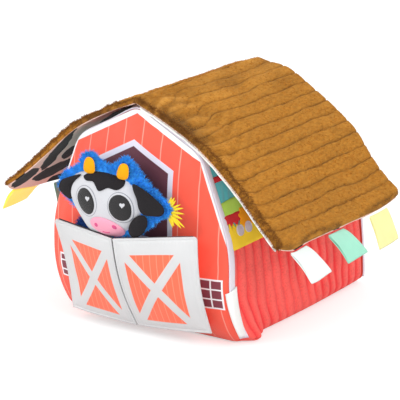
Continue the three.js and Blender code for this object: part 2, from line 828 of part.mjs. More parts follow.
// A flat sewn pad in front of the cow's fur, such as an ear, horn or hoof.
function flatPad(outline, y, thickness, rings) {
  const centre = middleOf(outline);
  const bulge = (sign) => ({ x, y: z }, share) => new THREE.Vector3(
    x,
    y + sign * (thickness / 2) * (1 - share ** cow.crownPowerShare),
    z,
  );
  return padSolid(ringLoops(outline, centre, rings), centre, bulge(-1), bulge(1), true);
}

function cowEar(sign) {
  const root = new THREE.Vector2(
    cow.x + ear.x + sign * cow.headHalfWidth * ear.rootShare,
    lerp(cow.headBottom, cow.headTop, ear.rootHeightShare),
  );
  const tip = new THREE.Vector2(root.x + sign * ear.length, root.y - ear.length * ear.droopShare);
  const middle = root.clone().lerp(tip, 1 / 2);
  const tilt = Math.atan2(tip.y - root.y, tip.x - root.x);
  const outline = ellipseOutline(middle.x, middle.y, root.distanceTo(tip) / 2, ear.width / 2, 16, tilt)
    .map((point) => keepOutside(point, ear.clearance));
  return flatPad(outline, cowMiddleY - ear.thickness / 2 - laidGap, ear.thickness, 2);
}

// Moves a point that lies inside the cow's face outline to just outside it.
function keepOutside(point, clearance) {
  const share = outlineShare(cowOutline, cowCentre, point.x, point.y);
  const offset = point.clone().sub(cowCentre);
  const reach = offset.length() / share + clearance;
  return share > 0 && offset.length() < reach ? cowCentre.clone().add(offset.setLength(reach)) : point;
}

function cowHorn(sign) {
  const x = cow.x + horn.centreX + (sign * horn.spacing) / 2;
  const base = lerp(cow.headBottom, cow.headTop, horn.baseShare);
  const tall = horn.height / 2 + horn.width / 4;
  const outline = ellipseOutline(x, base + horn.height / 2, horn.width / 2, tall, 14)
    .map((point) => keepOutside(point, seamGap));
  return flatPad(outline, cowMiddleY - horn.thickness / 2 - laidGap, horn.thickness, 2);
}

function cowHoof(place) {
  const outline = ellipseOutline(
    cow.x + place.x, place.height, hoof.radiusX, hoof.radiusZ, 14, place.tiltShare * Math.PI,
  );
  return flatPad(outline, baseFrontY - place.reach, hoof.thickness, 2);
}

function cowLowerBody() {
  const top = cow.headBottom - seamGap;
  const middle = cow.x + cowBody.x;
  const left = middle - cowBody.halfWidth;
  const right = middle + cowBody.halfWidth;
  const corners = [
    { at: new THREE.Vector2(left, cowBody.bottom), radius: cowBody.halfWidth / 2, steps: 4 },
    { at: new THREE.Vector2(right, cowBody.bottom), radius: cowBody.halfWidth / 2, steps: 4 },
    { at: new THREE.Vector2(right, top), radius: cowBody.halfWidth / 5, steps: 2 },
    { at: new THREE.Vector2(left, top), radius: cowBody.halfWidth / 5, steps: 2 },
  ];
  const outline = roundedOutline(corners, 3);
  const centre = new THREE.Vector2(middle, lerp(cowBody.bottom, top, 1 / 2));
  const surface = (sign) => ({ x, y: z }, share) => {
    const up = (z - cowBody.bottom) / (top - cowBody.bottom);
    const full = lerp(...cowBody.fullShares, up) * (1 - share ** cow.crownPowerShare);
    return new THREE.Vector3(x, pocketY(x, z, lerp(...cowBody.middleShares, up) + sign * full), z);
  };
  return padSolid(ringLoops(outline, centre, 3), centre, surface(1), surface(-1), true);
}

function cowTuft() {
  const count = tuft.strands * 4;
  const outline = Array.from({ length: count }, (_, i) => {
    const angle = (i / count) * Math.PI * 2;
    const spike = i % 2 === 0 ? 1 : 1 / 2;
    const forward = Math.cos(angle) > 0 ? spike : 1 / 2;
    return new THREE.Vector2(
      cow.x + tuft.x + (tuft.length / 2) * forward * Math.cos(angle),
      tuft.height + tuft.halfWidth * spike * Math.sin(angle),
    );
  });
  return flatPad(outline, baseFrontY - tuft.reach, tuft.thickness, 2);
}

// Assembly

function fabric(colour, roughness = 0.9) {
  return new THREE.MeshStandardMaterial({ color: colour, roughness, metalness: 0 });
}

const barn = new THREE.Group();

function add(name, geometry, colour, roughness) {
  const mesh = new THREE.Mesh(geometry, fabric(colour, roughness));
  mesh.name = name;
  barn.add(mesh);
  return mesh;
}

function addBody() {
  add('fibre_filling', bodyFilling(), colours.filling);
  add('front_panel', facePanel(frontY, -1), colours.facadeRed, 0.6);
  add('back_panel', facePanel(backY, 1), colours.facadeRed, 0.6);
  const ribColumns = wallRibs * 2;
  const { rightBase, rightWall, rightShoulder, gable, leftShoulder, leftWall, leftBase } = seams;
  const wall = (from, to) => stripSolid(from, to, wallThickness, ribColumns, wallRibDepth);
  add('right_wall', wall(rightBase, rightWall), colours.plushRed);
  add('left_wall', wall(leftWall, leftBase), colours.plushRed);
  add('right_activity_panel', stripSolid(rightWall, rightShoulder, coverThickness, 3), colours.satinTeal, 0.4);
  add('left_activity_panel', stripSolid(leftShoulder, leftWall, coverThickness, 3), colours.satinTeal, 0.4);
  add('right_top_cover', stripSolid(rightShoulder, gable, coverThickness, 3), colours.plushRed);
  add('left_top_cover', stripSolid(gable, leftShoulder, coverThickness, 3), colours.plushRed);
  add('base_panel', stripSolid(leftBase, lastIndex + rightBase, coverThickness, wallRibs), colours.plushRed);
  add('front_binding', faceBinding(true), colours.binding, 0.5);
  add('back_binding', faceBinding(false), colours.binding, 0.5);
  add('ridge_tape', ridgeTape(), colours.white);
}

function addActivityPanel() {
  const band = (shape) => slopePatch(shape, () => shape.highShare, () => shape.lowShare, 3);
  const jagged = (shape) => (along) => shape.highShare + shape.toothShare * zigzag(shape.teeth, along);
  const jaggedLow = (shape) => (along) => shape.lowShare - shape.toothShare * zigzag(shape.teeth, along);
  const hillTop = (along) => hill.highShare + hill.waveShare * Math.sin(Math.PI * 3 * along);
  const hillPatch = slopePatch(hill, hillTop, () => hill.lowShare, 16);
  const fringePatch = slopePatch(fringe, () => fringe.highShare, jaggedLow(fringe), fringe.teeth * 2);
  const strawPatch = slopePatch(straw, jagged(straw), () => straw.lowShare, straw.teeth * 2);
  add('right_cap_band', band(capBand), colours.fringeRed, 0.6);
  add('right_thin_band', band(thinBand), colours.fringeRed, 0.6);
  add('right_hill_patch', hillPatch, colours.green, 0.5);
  add('right_red_fringe', fringePatch, colours.fringeRed);
  add('right_straw_patch', strawPatch, colours.yellow);
  const sunPlace = slopeFrame(sunburst.placeShare, sunburst.depthShare, laidGap + patchThickness / 2);
  const sunOutline = new THREE.Shape(Array.from({ length: sunburst.points * 4 }, (_, i) => {
    const angle = (i / (sunburst.points * 4)) * Math.PI * 2;
    const reach = sunburst.radius * (1 + sunburst.waveShare * Math.cos(angle * sunburst.points));
    return new THREE.Vector2(reach * Math.cos(angle), reach * Math.sin(angle));
  }));
  const sun = new THREE.ExtrudeGeometry(sunOutline, { depth: patchThickness, bevelEnabled: false });
  sun.translate(0, 0, -patchThickness / 2).rotateX(Math.PI / 2);
  add('right_orange_patch', sun.applyMatrix4(sunPlace.frame), colours.orange).position.copy(sunPlace.origin);
  for (const [index, name] of ['right_front_disc', 'right_rear_disc'].entries()) {
    const depthShare = disc.firstShare + index * (disc.spacing / baseLength);
    const lift = laidGap * 2 + patchThickness + disc.thickness / 2;
    const place = slopeFrame(disc.placeShare, depthShare, lift);
    const puck = new THREE.CylinderGeometry(disc.radius, disc.radius, disc.thickness, 20);
    add(name, puck.applyMatrix4(place.frame), colours.disc, 0.6).position.copy(place.origin);
  }
}

function addSeamTab() {
  const run = edgeRun(seams.rightBase, seams.rightWall);
  const surface = (inset) => (across, down) => {
    const height = seamTab.topHeight - seamTab.length * down;
    const { x, y: z } = run(height / wallHeight, inset);
    return throughDepth(x, z, frontY(x, z) + seamTab.width * across);
  };
  const lift = -seamGap * 3 - bindingThickness;
  const tab = sheetSolid(3, 6, surface(lift - seamTab.thickness), surface(lift));
  add('side_ribbon_tab', tab, colours.white, 0.3);
}

function addDoors() {
  for (const [name, side] of Object.entries(doorSides)) {
    add(`${name}_door_face`, doorLayer(side, 0, door.faceThickness, 0), colours.doorWhite, 0.6);
    const liningStart = door.faceThickness + laidGap;
    const lining = doorLayer(side, liningStart, door.liningThickness, door.liningThickness);
    add(`${name}_door_lining`, lining, colours.doorLining);
    add(`${name}_door_gusset`, sideGusset(side), colours.facadeRed);
  }
  add('pocket_floor', pocketFloor(), colours.doorLining);
}

function addRoof() {
  const tabColours = {
    right: { front: colours.white, middle: colours.mint, rear: colours.ribbonYellow },
    left: { front: colours.ribbonGold, middle: colours.mint, rear: colours.white },
  };
  for (const [name, sign] of [['right', 1], ['left', -1]]) {
    add(`${name}_roof_plush`, roofPlush(sign), colours.roofBrown);
    add(`${name}_roof_film`, roofLayer(sign, filmDepth, filmThickness, filmInset), colours.film, 0.2);
    add(`${name}_roof_lining`, roofLayer(sign, liningDepth, liningThickness, 0), colours.roofLining);
    for (const [place, ribbon] of Object.entries(ribbons)) {
      add(`${name}_${place}_ribbon`, eaveRibbon(sign, ribbon), tabColours[name][place], 0.3);
    }
  }
}

function addCow() {
  add('cow_head', cowHead(), colours.cowWhite, 0.8);
  add('cow_fur_back', cowFur(), colours.fur);
  add('cow_left_ear', cowEar(-1), colours.cowBlack);
  add('cow_right_ear', cowEar(1), colours.cowBlack);
  add('cow_left_horn', cowHorn(-1), colours.horn);
  add('cow_right_horn', cowHorn(1), colours.horn);
  add('cow_forehead_patch', cowForehead(), colours.cowBlack);
  add('cow_left_eye', cowEye(-1), colours.cowBlack, 0.4);
  add('cow_right_eye', cowEye(1), colours.cowBlack, 0.4);
  add('cow_muzzle', cowMuzzle(), colours.muzzle);
  add('cow_body', cowLowerBody(), colours.fur);
  add('cow_right_hoof', cowHoof(rightHoof), colours.cowBlack);
  add('cow_left_hoof', cowHoof(leftHoof), colours.cowBlack);
  add('cow_straw_tuft', cowTuft(), colours.straw);
}

addBody();
addActivityPanel();
addSeamTab();
addDoors();
addRoof();
addCow();

export default barn;
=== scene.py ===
import math

import bpy
import numpy as np
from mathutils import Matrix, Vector


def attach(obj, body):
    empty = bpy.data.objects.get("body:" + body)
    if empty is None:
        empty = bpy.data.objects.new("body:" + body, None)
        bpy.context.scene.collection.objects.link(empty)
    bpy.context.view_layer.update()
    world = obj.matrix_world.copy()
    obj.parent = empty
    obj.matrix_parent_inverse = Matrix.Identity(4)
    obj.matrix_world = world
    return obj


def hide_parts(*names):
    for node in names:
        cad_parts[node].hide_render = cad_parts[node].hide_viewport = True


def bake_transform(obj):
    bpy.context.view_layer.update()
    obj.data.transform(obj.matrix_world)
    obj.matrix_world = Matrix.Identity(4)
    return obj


# Soft activity barn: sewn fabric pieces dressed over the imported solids.
# Shapes are worked out in millimetres and placed in metres.
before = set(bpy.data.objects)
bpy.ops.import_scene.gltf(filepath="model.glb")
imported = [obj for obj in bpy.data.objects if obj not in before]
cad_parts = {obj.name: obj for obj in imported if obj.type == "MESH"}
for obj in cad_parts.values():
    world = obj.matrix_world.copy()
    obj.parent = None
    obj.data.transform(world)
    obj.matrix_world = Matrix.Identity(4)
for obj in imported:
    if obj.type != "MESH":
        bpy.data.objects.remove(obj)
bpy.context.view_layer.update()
mm = 0.001
weldDistance = 1e-7  # metres
nearlyUp = 0.9  # a face that looks up has a normal steeper than this


# Small tools

def deselectAll():
    if bpy.context.object and bpy.context.object.mode != "OBJECT":
        bpy.ops.object.mode_set(mode="OBJECT")
    bpy.ops.object.select_all(action="DESELECT")


def readPoints(piece):
    flat = np.empty(len(piece.data.vertices) * 3)
    piece.data.vertices.foreach_get("co", flat)
    return flat.reshape(-1, 3)


def writePoints(piece, points):
    piece.data.vertices.foreach_set("co", np.asarray(points, float).ravel())
    piece.data.update()


def selectOnly(piece):
    deselectAll()
    piece.select_set(True)
    bpy.context.view_layer.objects.active = piece


def applyModifiers(piece):
    selectOnly(piece)
    for modifier in list(piece.modifiers):
        bpy.ops.object.modifier_apply(modifier=modifier.name)


def turnOutwards(piece):
    selectOnly(piece)
    bpy.ops.object.mode_set(mode="EDIT")
    bpy.ops.mesh.select_all(action="SELECT")
    bpy.ops.mesh.remove_doubles(threshold=weldDistance)
    bpy.ops.mesh.normals_make_consistent(inside=False)
    bpy.ops.object.mode_set(mode="OBJECT")
    bpy.ops.object.shade_smooth()


def meshPiece(name, points, faces):  # points in millimetres
    mesh = bpy.data.meshes.new(name)
    mesh.from_pydata((np.asarray(points) * mm).tolist(), [], faces)
    piece = bpy.data.objects.new(name, mesh)
    bpy.context.collection.objects.link(piece)
    return piece


def editTopFaces(piece):  # opens edit mode with the flat top selected
    bpy.ops.object.mode_set(mode="EDIT")
    bpy.ops.mesh.select_all(action="DESELECT")
    bpy.ops.mesh.select_mode(type="FACE")
    bpy.ops.object.mode_set(mode="OBJECT")
    for face in piece.data.polygons:
        face.select = face.normal.z > nearlyUp
    bpy.ops.object.mode_set(mode="EDIT")


gridSizes = {}  # columns and rows of each cloth grid, by name


def bentGrid(name, columns, rows, place):  # place takes two shares, 0 to 1, and gives millimetres
    deselectAll()
    bpy.ops.mesh.primitive_grid_add(x_subdivisions=columns, y_subdivisions=rows, size=1)
    piece = bpy.context.object
    piece.name = piece.data.name = name
    flat = readPoints(piece)
    writePoints(piece, place(flat[:, 0] + 0.5, flat[:, 1] + 0.5) * mm)
    gridSizes[piece.name] = (columns, rows)
    return piece


def cutCloth(piece, held, *restsOn):
    # reads a sheet's points along its own threads, before it gets its thickness; nothing is kept from them
    columns, rows = gridSizes[piece.name]
    threads = readPoints(piece).reshape(rows + 1, columns + 1, 3)


def thicken(piece, thickness, offset=-1.0):  # thickness in millimetres
    solid = piece.modifiers.new("thickness", "SOLIDIFY")
    solid.thickness = thickness * mm
    solid.offset = offset
    applyModifiers(piece)
    turnOutwards(piece)
    return piece


def pressedBall(name, outline, centre, frontAt, backAt, rings):
    # a ball pressed flat: its equator follows the outline in x and z, its halves are the two faces
    deselectAll()
    count = len(outline)
    bpy.ops.mesh.primitive_uv_sphere_add(segments=count, ring_count=rings * 2, radius=1)
    piece = bpy.context.object
    piece.name = piece.data.name = name
    ball = readPoints(piece)
    share = np.minimum(1, np.hypot(ball[:, 0], ball[:, 1]))
    angle = np.arctan2(ball[:, 1], ball[:, 0]) / (2 * math.pi)
    index = np.round(angle * count).astype(int) % count
    flat = centre + share[:, None] * (outline[index] - centre)
    front = frontAt(flat[:, 0], flat[:, 1], share)
    back = backAt(flat[:, 0], flat[:, 1], share)
    equator = -1e-6  # just under the middle, so that the seam itself belongs to the front
    depth = np.where(ball[:, 2] >= equator, front, back)
    writePoints(piece, np.column_stack([flat[:, 0], depth, flat[:, 1]]) * mm)
    turnOutwards(piece)
    return piece


def dress(piece, body, material, slot, *nodes):
    piece.data.materials.clear()
    piece.data.materials.append(material)
    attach(piece, body)
    if nodes:
        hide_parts(*nodes)
    return piece


def storeShade(piece, name, values):
    layer = piece.data.attributes.new(name, "FLOAT", "POINT")
    layer.data.foreach_set("value", np.asarray(values, np.float32))


def smoothLine(knots, closed=False, steps=24):  # a smooth line through the knots
    knots = [np.array(knot, float) for knot in knots]
    count = len(knots)
    if closed:
        padded = [knots[-1]] + knots + knots[:2]
    else:
        padded = [2 * knots[0] - knots[1]] + knots + [2 * knots[-1] - knots[-2]]
    points = []
    for i in range(count if closed else count - 1):
        p0, p1, p2, p3 = padded[i : i + 4]
        t1 = np.linalg.norm(p1 - p0) ** 0.5
        t2 = t1 + np.linalg.norm(p2 - p1) ** 0.5
        t3 = t2 + np.linalg.norm(p3 - p2) ** 0.5
        for step in range(steps):
            t = t1 + (t2 - t1) * step / steps
            a1 = (t1 - t) / t1 * p0 + t / t1 * p1
            a2 = (t2 - t) / (t2 - t1) * p1 + (t - t1) / (t2 - t1) * p2
            a3 = (t3 - t) / (t3 - t2) * p2 + (t - t2) / (t3 - t2) * p3
            b1 = (t2 - t) / t2 * a1 + t / t2 * a2
            b2 = (t3 - t) / (t3 - t1) * a2 + (t - t1) / (t3 - t1) * a3
            points.append((t2 - t) / (t2 - t1) * b1 + (t - t1) / (t2 - t1) * b2)
    points.append(knots[0] if closed else knots[-1])
    return np.array(points)


def evenly(points, count, closed=False):  # the same line in equal steps
    steps = np.linalg.norm(np.diff(points, axis=0), axis=1)
    length = np.concatenate([[0], np.cumsum(steps)])
    wanted = np.linspace(0, length[-1], count + 1)[:-1] if closed else np.linspace(0, length[-1], count)
    return np.column_stack([np.interp(wanted, length, points[:, k]) for k in range(points.shape[1])])


noiseWaves = {"count": 7, "shortest": 0.7, "longest": 1.5, "turn": 6.28, "level": 4}


def softNoise(points, size, seed):  # gentle lumps of about this size, mostly between -1 and 1
    source = np.random.default_rng(seed)
    total = np.zeros(len(points))
    for _ in range(noiseWaves["count"]):
        direction = source.normal(size=points.shape[1])
        direction /= np.linalg.norm(direction)
        pitch = size * source.uniform(noiseWaves["shortest"], noiseWaves["longest"])
        total += np.sin(points @ direction * (2 * math.pi / pitch) + source.uniform(0, noiseWaves["turn"]))
    return total / noiseWaves["level"]


def lerp(low, high, share):
    return low + (high - low) * share


def fade(value, reach):  # 0 at nothing, rising to 1 over the reach
    return np.clip(value / reach, 0, 1)


def bump(value, middle, width):  # a smooth rise to 1 at the middle
    return np.exp(-(((value - middle) / width) ** 2))


# Node tools

def linear(red, green, blue):  # a colour as a paint program shows it, for a node's socket
    parts = [channel / 255 for channel in (red, green, blue)]
    return tuple(c / 12.92 if c <= 0.04045 else ((c + 0.055) / 1.055) ** 2.4 for c in parts) + (1.0,)


def paler(colour, more, times=1.0):
    return linear(*[min(255, channel * times + more) for channel in colour])


def plug(tree, socket, value):
    if isinstance(value, bpy.types.NodeSocket):
        tree.links.new(value, socket)
    else:
        socket.default_value = value


def addNode(tree, kind, **settings):
    node = tree.nodes.new(kind)
    for name, value in settings.items():
        setattr(node, name, value)
    return node


def calc(tree, operation, first, second=0.0, third=None):
    node = addNode(tree, "ShaderNodeMath", operation=operation)
    plug(tree, node.inputs[0], first)
    plug(tree, node.inputs[1], second)
    if third is not None:
        plug(tree, node.inputs[2], third)
    return node.outputs[0]


def above(tree, value, edge, soft):  # 0 below the edge, 1 above it
    node = addNode(tree, "ShaderNodeMapRange")
    plug(tree, node.inputs["Value"], value)
    node.inputs["From Min"].default_value = edge - soft
    node.inputs["From Max"].default_value = edge + soft
    return node.outputs[0]


def below(tree, value, edge, soft):  # 1 below the edge, 0 above it
    return calc(tree, "SUBTRACT", 1.0, above(tree, value, edge, soft))


def between(tree, value, low, high, soft):
    return calc(tree, "MULTIPLY", above(tree, value, low, soft), below(tree, value, high, soft))


def apart(tree, first, second):  # how far two values lie apart
    return calc(tree, "ABSOLUTE", calc(tree, "SUBTRACT", first, second))


def pastLine(tree, side, z, start, end):  # millimetres outside the line between two points, x and z
    run, rise = end[0] - start[0], end[1] - start[1]
    length = math.hypot(run, rise)
    offset = (run * start[1] - rise * start[0]) / length
    return calc(tree, "MULTIPLY_ADD", side, rise / length, calc(tree, "MULTIPLY_ADD", z, -run / length, offset))


def paint(tree, factor, below, over):
    node = addNode(tree, "ShaderNodeMix", data_type="RGBA")
    plug(tree, node.inputs[0], factor)
    plug(tree, node.inputs[6], below)
    plug(tree, node.inputs[7], over)
    return node.outputs[2]


def noiseOf(tree, vector, scale, detail, distortion=0.0):
    node = addNode(tree, "ShaderNodeTexNoise")
    plug(tree, node.inputs["Vector"], vector)
    plug(tree, node.inputs["Scale"], scale)
    node.inputs["Detail"].default_value = detail
    node.inputs["Distortion"].default_value = distortion
    return node.outputs["Fac"]


def stretched(tree, vector, scale):
    node = addNode(tree, "ShaderNodeMapping")
    plug(tree, node.inputs["Vector"], vector)
    node.inputs["Scale"].default_value = scale
    return node.outputs[0]


def placeIn(tree, kind="Object"):
    return addNode(tree, "ShaderNodeTexCoord").outputs[kind]


def millimetres(tree):  # the point's place in the part's frame
    split = addNode(tree, "ShaderNodeSeparateXYZ")
    scaled = addNode(tree, "ShaderNodeVectorMath", operation="SCALE")
    plug(tree, scaled.inputs[0], placeIn(tree))
    scaled.inputs["Scale"].default_value = 1000
    tree.links.new(scaled.outputs[0], split.inputs[0])
    return split.outputs


def clothGroup(name, **values):  # a group with a vector and named numbers in, a height and a shade out
    group = bpy.data.node_groups.new(name, "ShaderNodeTree")
    group.interface.new_socket("Vector", in_out="INPUT", socket_type="NodeSocketVector")
    for label, value in values.items():
        socket = group.interface.new_socket(label, in_out="INPUT", socket_type="NodeSocketFloat")
        socket.default_value = value
    for label in ("Height", "Shade"):
        group.interface.new_socket(label, in_out="OUTPUT", socket_type="NodeSocketFloat")
    start = group.nodes.new("NodeGroupInput")
    end = group.nodes.new("NodeGroupOutput")
    return group, start.outputs, end.inputs


def weaveGroup():  # crossing threads, and the soft unevenness of dyed cloth
    group, given, result = clothGroup("wovenCloth", Threads=1400.0, Mottle=60.0)
    heights = []
    for direction in ("X", "Z"):
        wave = addNode(group, "ShaderNodeTexWave", bands_direction=direction)
        plug(group, wave.inputs["Vector"], given["Vector"])
        plug(group, wave.inputs["Scale"], given["Threads"])
        wave.inputs["Distortion"].default_value = 1.5
        heights.append(wave.outputs["Fac"])
    plug(group, result["Height"], calc(group, "ADD", heights[0], heights[1]))
    plug(group, result["Shade"], noiseOf(group, given["Vector"], given["Mottle"], 4))
    return group


def pileGroup():  # short upright fibres, brushed along one direction
    group, given, result = clothGroup("brushedPile", Fibres=900.0, Brushing=45.0)
    fineShare = 0.65
    fine = noiseOf(group, given["Vector"], given["Fibres"], 5)
    broad = noiseOf(group, given["Vector"], given["Brushing"], 3, distortion=0.6)
    plug(group, result["Height"], fine)
    rest = calc(group, "MULTIPLY", broad, 1 - fineShare)
    plug(group, result["Shade"], calc(group, "MULTIPLY_ADD", fine, fineShare, rest))
    return group


wovenCloth = weaveGroup()
brushedPile = pileGroup()


def startMaterial(name, roughness, sheen=0.0, sheenColour=(1, 1, 1, 1)):
    material = bpy.data.materials.new(name)
    material.use_nodes = True
    tree = material.node_tree
    shader = tree.nodes["Principled BSDF"]
    shader.inputs["Roughness"].default_value = roughness
    shader.inputs["Specular IOR Level"].default_value = 0.3
    shader.inputs["Sheen Weight"].default_value = sheen
    shader.inputs["Sheen Roughness"].default_value = 0.6
    shader.inputs["Sheen Tint"].default_value = sheenColour
    return material, tree, shader


def useGroup(tree, group, vector, first, second):
    node = addNode(tree, "ShaderNodeGroup", node_tree=group)
    plug(tree, node.inputs[0], vector)
    node.inputs[1].default_value = first
    node.inputs[2].default_value = second
    return node


def addRelief(tree, shader, height, strength, distance):
    bump = addNode(tree, "ShaderNodeBump")
    plug(tree, bump.inputs["Height"], height)
    bump.inputs["Strength"].default_value = strength
    bump.inputs["Distance"].default_value = distance * mm
    tree.links.new(bump.outputs[0], shader.inputs["Normal"])


def shaded(tree, colour, shade, amount):  # lighter and darker places of one colour
    bright = addNode(tree, "ShaderNodeHueSaturation")
    plug(tree, bright.inputs["Color"], colour)
    value = calc(tree, "MULTIPLY_ADD", calc(tree, "SUBTRACT", shade, 0.5), amount, 1.0)
    plug(tree, bright.inputs["Value"], value)
    return bright.outputs[0]


def clothMaterial(
    name, colour, roughness=0.8, sheen=0.15, threads=1400.0, mottle=70.0,
    variation=0.25, strength=0.35, relief=0.15,
):
    material, tree, shader = startMaterial(name, roughness, sheen)
    weave = useGroup(tree, wovenCloth, placeIn(tree), threads, mottle)
    plug(tree, shader.inputs["Base Color"], shaded(tree, linear(*colour), weave.outputs["Shade"], variation))
    addRelief(tree, shader, weave.outputs["Height"], strength, relief)
    return material


def satinMaterial(name, colour):
    return clothMaterial(
        name, colour, roughness=0.36, sheen=0.2, threads=1900.0, mottle=90.0,
        variation=0.16, strength=0.2, relief=0.1,
    )


def feltMaterial(name, colour, variation=0.35):
    material, tree, shader = startMaterial(name, 0.95, 0.3, paler(colour, 40))
    pile = useGroup(tree, brushedPile, placeIn(tree), 1600.0, 160.0)
    plug(tree, shader.inputs["Base Color"], shaded(tree, linear(*colour), pile.outputs["Shade"], variation))
    addRelief(tree, shader, pile.outputs["Height"], 0.45, 0.35)
    return material


# dark is the colour of painted shade, used only when the piece stores where that shade lies
def pileMaterial(name, colour, dark, sheen=0.35, fibres=900.0, brush=(1, 1, 1), variation=0.7, paintedShade=False):
    material, tree, shader = startMaterial(name, 0.92, sheen, paler(colour, 60))
    pile = useGroup(tree, brushedPile, stretched(tree, placeIn(tree), brush), fibres, 45.0)
    tone = shaded(tree, linear(*colour), pile.outputs["Shade"], variation)
    if paintedShade:  # the piece stores where its painted highlight and painted shade lie
        # a paler colour on the crests is painted highlight; the dark colour in the hollows is painted shade
        for label, colourThere in (("paintedHighlight", paler(colour, 30, 1.12)), ("paintedShade", linear(*dark))):
            stored = addNode(tree, "ShaderNodeAttribute", attribute_name=label)
            tone = paint(tree, stored.outputs["Fac"], tone, colourThere)
    plug(tree, shader.inputs["Base Color"], tone)
    addRelief(tree, shader, pile.outputs["Height"], 0.7, 0.8)
    return material


# Barn body

barn = {
    "length": 228,
    "height": 224,
    "wallHeight": 103,
    "middleZ": 112,
    "baseSeam": (95, 0, 0),
    "corners": [(101, 0, 12), (103, 52, 24), (103, 103, 24), (71, 187, 13), (0, 224, 10)],  # x, z, rounding
    "frontLean": 27,
    "frontLeanHeight": 70,
    "frontCrown": 10,
    "backLean": 46,
    "backLeanCurve": 1.3,
    "backCrown": 7,
    "panel": 1.6,
    "seam": 0.4,
    "swell": 3.5,
    "cornerSag": {"reach": 14, "setback": 14, "length": 30, "height": 50},
    "wrinkle": {"height": 0.5, "size": 46, "fadeShare": 0.1},
    "pucker": {"height": 0.5, "size": 12, "startShare": 0.72, "growShare": 0.2, "fadeShare": 0.06},
    "panelFadeShare": 0.02,
    "stripThickness": 1.2,
}
wall = {
    "ribs": 17,
    "columnsPerRib": 12,
    "rows": 70,
    "ribDepth": 2.1,
    "grooveCurve": 0.7,
    "lift": 0.4,
    "driftShare": 0.013,  # how far a rib wanders along the wall
    "seamShare": 0.004,
    "crumple": {"height": 1.3, "size": 30},
    "thickness": 2.2,
    # painted shade in the rib grooves: how dark it is, and how it spreads across a rib
    "paintedShade": 0.85,
    "paintedShadeCurve": 0.9,
}


def gableLoop(count):
    right = barn["corners"]
    corners = right + [(-x, z, r) for x, z, r in reversed(right) if x]
    points = []
    for i, (x, z, radius) in enumerate(corners):
        here = np.array([x, z], float)
        before = np.array(corners[i - 1][:2], float)
        after = np.array(corners[(i + 1) % len(corners)][:2], float)
        start = here + (before - here) / np.linalg.norm(before - here) * radius
        end = here + (after - here) / np.linalg.norm(after - here) * radius
        for t in np.linspace(0, 1, 9):
            points.append((1 - t) ** 2 * start + 2 * t * (1 - t) * here + t * t * end)
    points.append(points[0])
    return evenly(np.array(points), count, closed=True)


gable = gableLoop(720)
gableCentre = np.array([0.0, barn["middleZ"]])
gableAngles = np.unwrap(np.arctan2(gable[:, 1] - barn["middleZ"], gable[:, 0]))
gableReach = np.hypot(gable[:, 0], gable[:, 1] - barn["middleZ"])
gableNormals = np.roll(gable, -1, axis=0) - np.roll(gable, 1, axis=0)
gableNormals = np.column_stack([-gableNormals[:, 1], gableNormals[:, 0]])
gableNormals /= np.linalg.norm(gableNormals, axis=1)[:, None]  # these point inwards


def gableDome(x, z):  # 1 at the middle of the end panels, 0 at their seam
    angle = np.arctan2(z - barn["middleZ"], x)
    base = gableAngles[0]
    angle = base + np.mod(angle - base, 2 * math.pi)
    angles = np.append(gableAngles, gableAngles[0] + 2 * math.pi)
    reach = np.interp(angle, angles, np.append(gableReach, gableReach[0]))
    return 1 - np.minimum(1, np.hypot(x, z - barn["middleZ"]) / reach) ** 4


def frontY(x, z):
    lean = 1 - (1 - np.clip(z / barn["frontLeanHeight"], 0, 1)) ** 2
    return -barn["length"] / 2 - barn["frontLean"] * lean - barn["frontCrown"] * gableDome(x, z)


def backY(x, z):
    lean = np.clip(z / barn["height"], 0, None) ** barn["backLeanCurve"]
    return barn["length"] / 2 - barn["backLean"] * lean + barn["backCrown"] * gableDome(x, z)


def sideSwell(z, depthShare):  # the wall's bulge, and the sag of its low front corner
    sag = barn["cornerSag"]
    low = np.clip(1 - z / sag["height"], 0, 1) ** 2
    tall = np.clip(1 - (z / barn["wallHeight"]) ** 3, 0, 1)
    offset = depthShare * barn["length"] - sag["setback"]
    nearCorner = np.clip(1 - np.abs(offset) / np.where(offset < 0, sag["setback"], sag["length"]), 0, 1)
    nearCorner = nearCorner * nearCorner * (3 - 2 * nearCorner)
    return tall * barn["swell"] * np.sin(math.pi * depthShare) + low * nearCorner * sag["reach"]


def panelDepths(x, z):  # the inner faces of the two end panels
    inset = barn["panel"] + barn["seam"]
    return frontY(x, z) + inset, backY(x, z) - inset


def sidePoint(x, z, depthShare):
    front, back = panelDepths(x, z)
    swell = sideSwell(z, np.clip(depthShare, 0, 1))
    return np.column_stack([x * (1 + swell / barn["corners"][0][0]), lerp(front, back, depthShare), z])


def throughDepth(x, z, y):
    front, back = panelDepths(x, z)
    return sidePoint(x, z, (y - front) / (back - front))


def nearestPlace(x, z):  # on the gable's outline
    return int(np.argmin(np.hypot(gable[:, 0] - x, gable[:, 1] - z)))


seams = {"gable": nearestPlace(0, barn["height"])}
for side, sign in (("right", 1), ("left", -1)):
    for corner, place in zip(("Base", "Wall", "Shoulder"), (barn["baseSeam"], *barn["corners"][2:4])):
        seams[side + corner] = nearestPlace(sign * place[0], place[1])


def edgeRun(start, end, share, inset):  # the outline between two seams, moved inwards
    place = np.mod(start + (end - start) * share, len(gable))
    low = np.floor(place).astype(int) % len(gable)
    high = (low + 1) % len(gable)
    part = (place - np.floor(place))[:, None]
    point = gable[low] * (1 - part) + gable[high] * part
    normal = gableNormals[low] * (1 - part) + gableNormals[high] * part
    moved = point + normal * np.broadcast_to(inset, place.shape)[:, None]
    return moved[:, 0], moved[:, 1]


def ribGroove(depthShare):
    wave = np.abs(np.sin(math.pi * wall["ribs"] * depthShare))
    return 1 - wave ** wall["grooveCurve"]
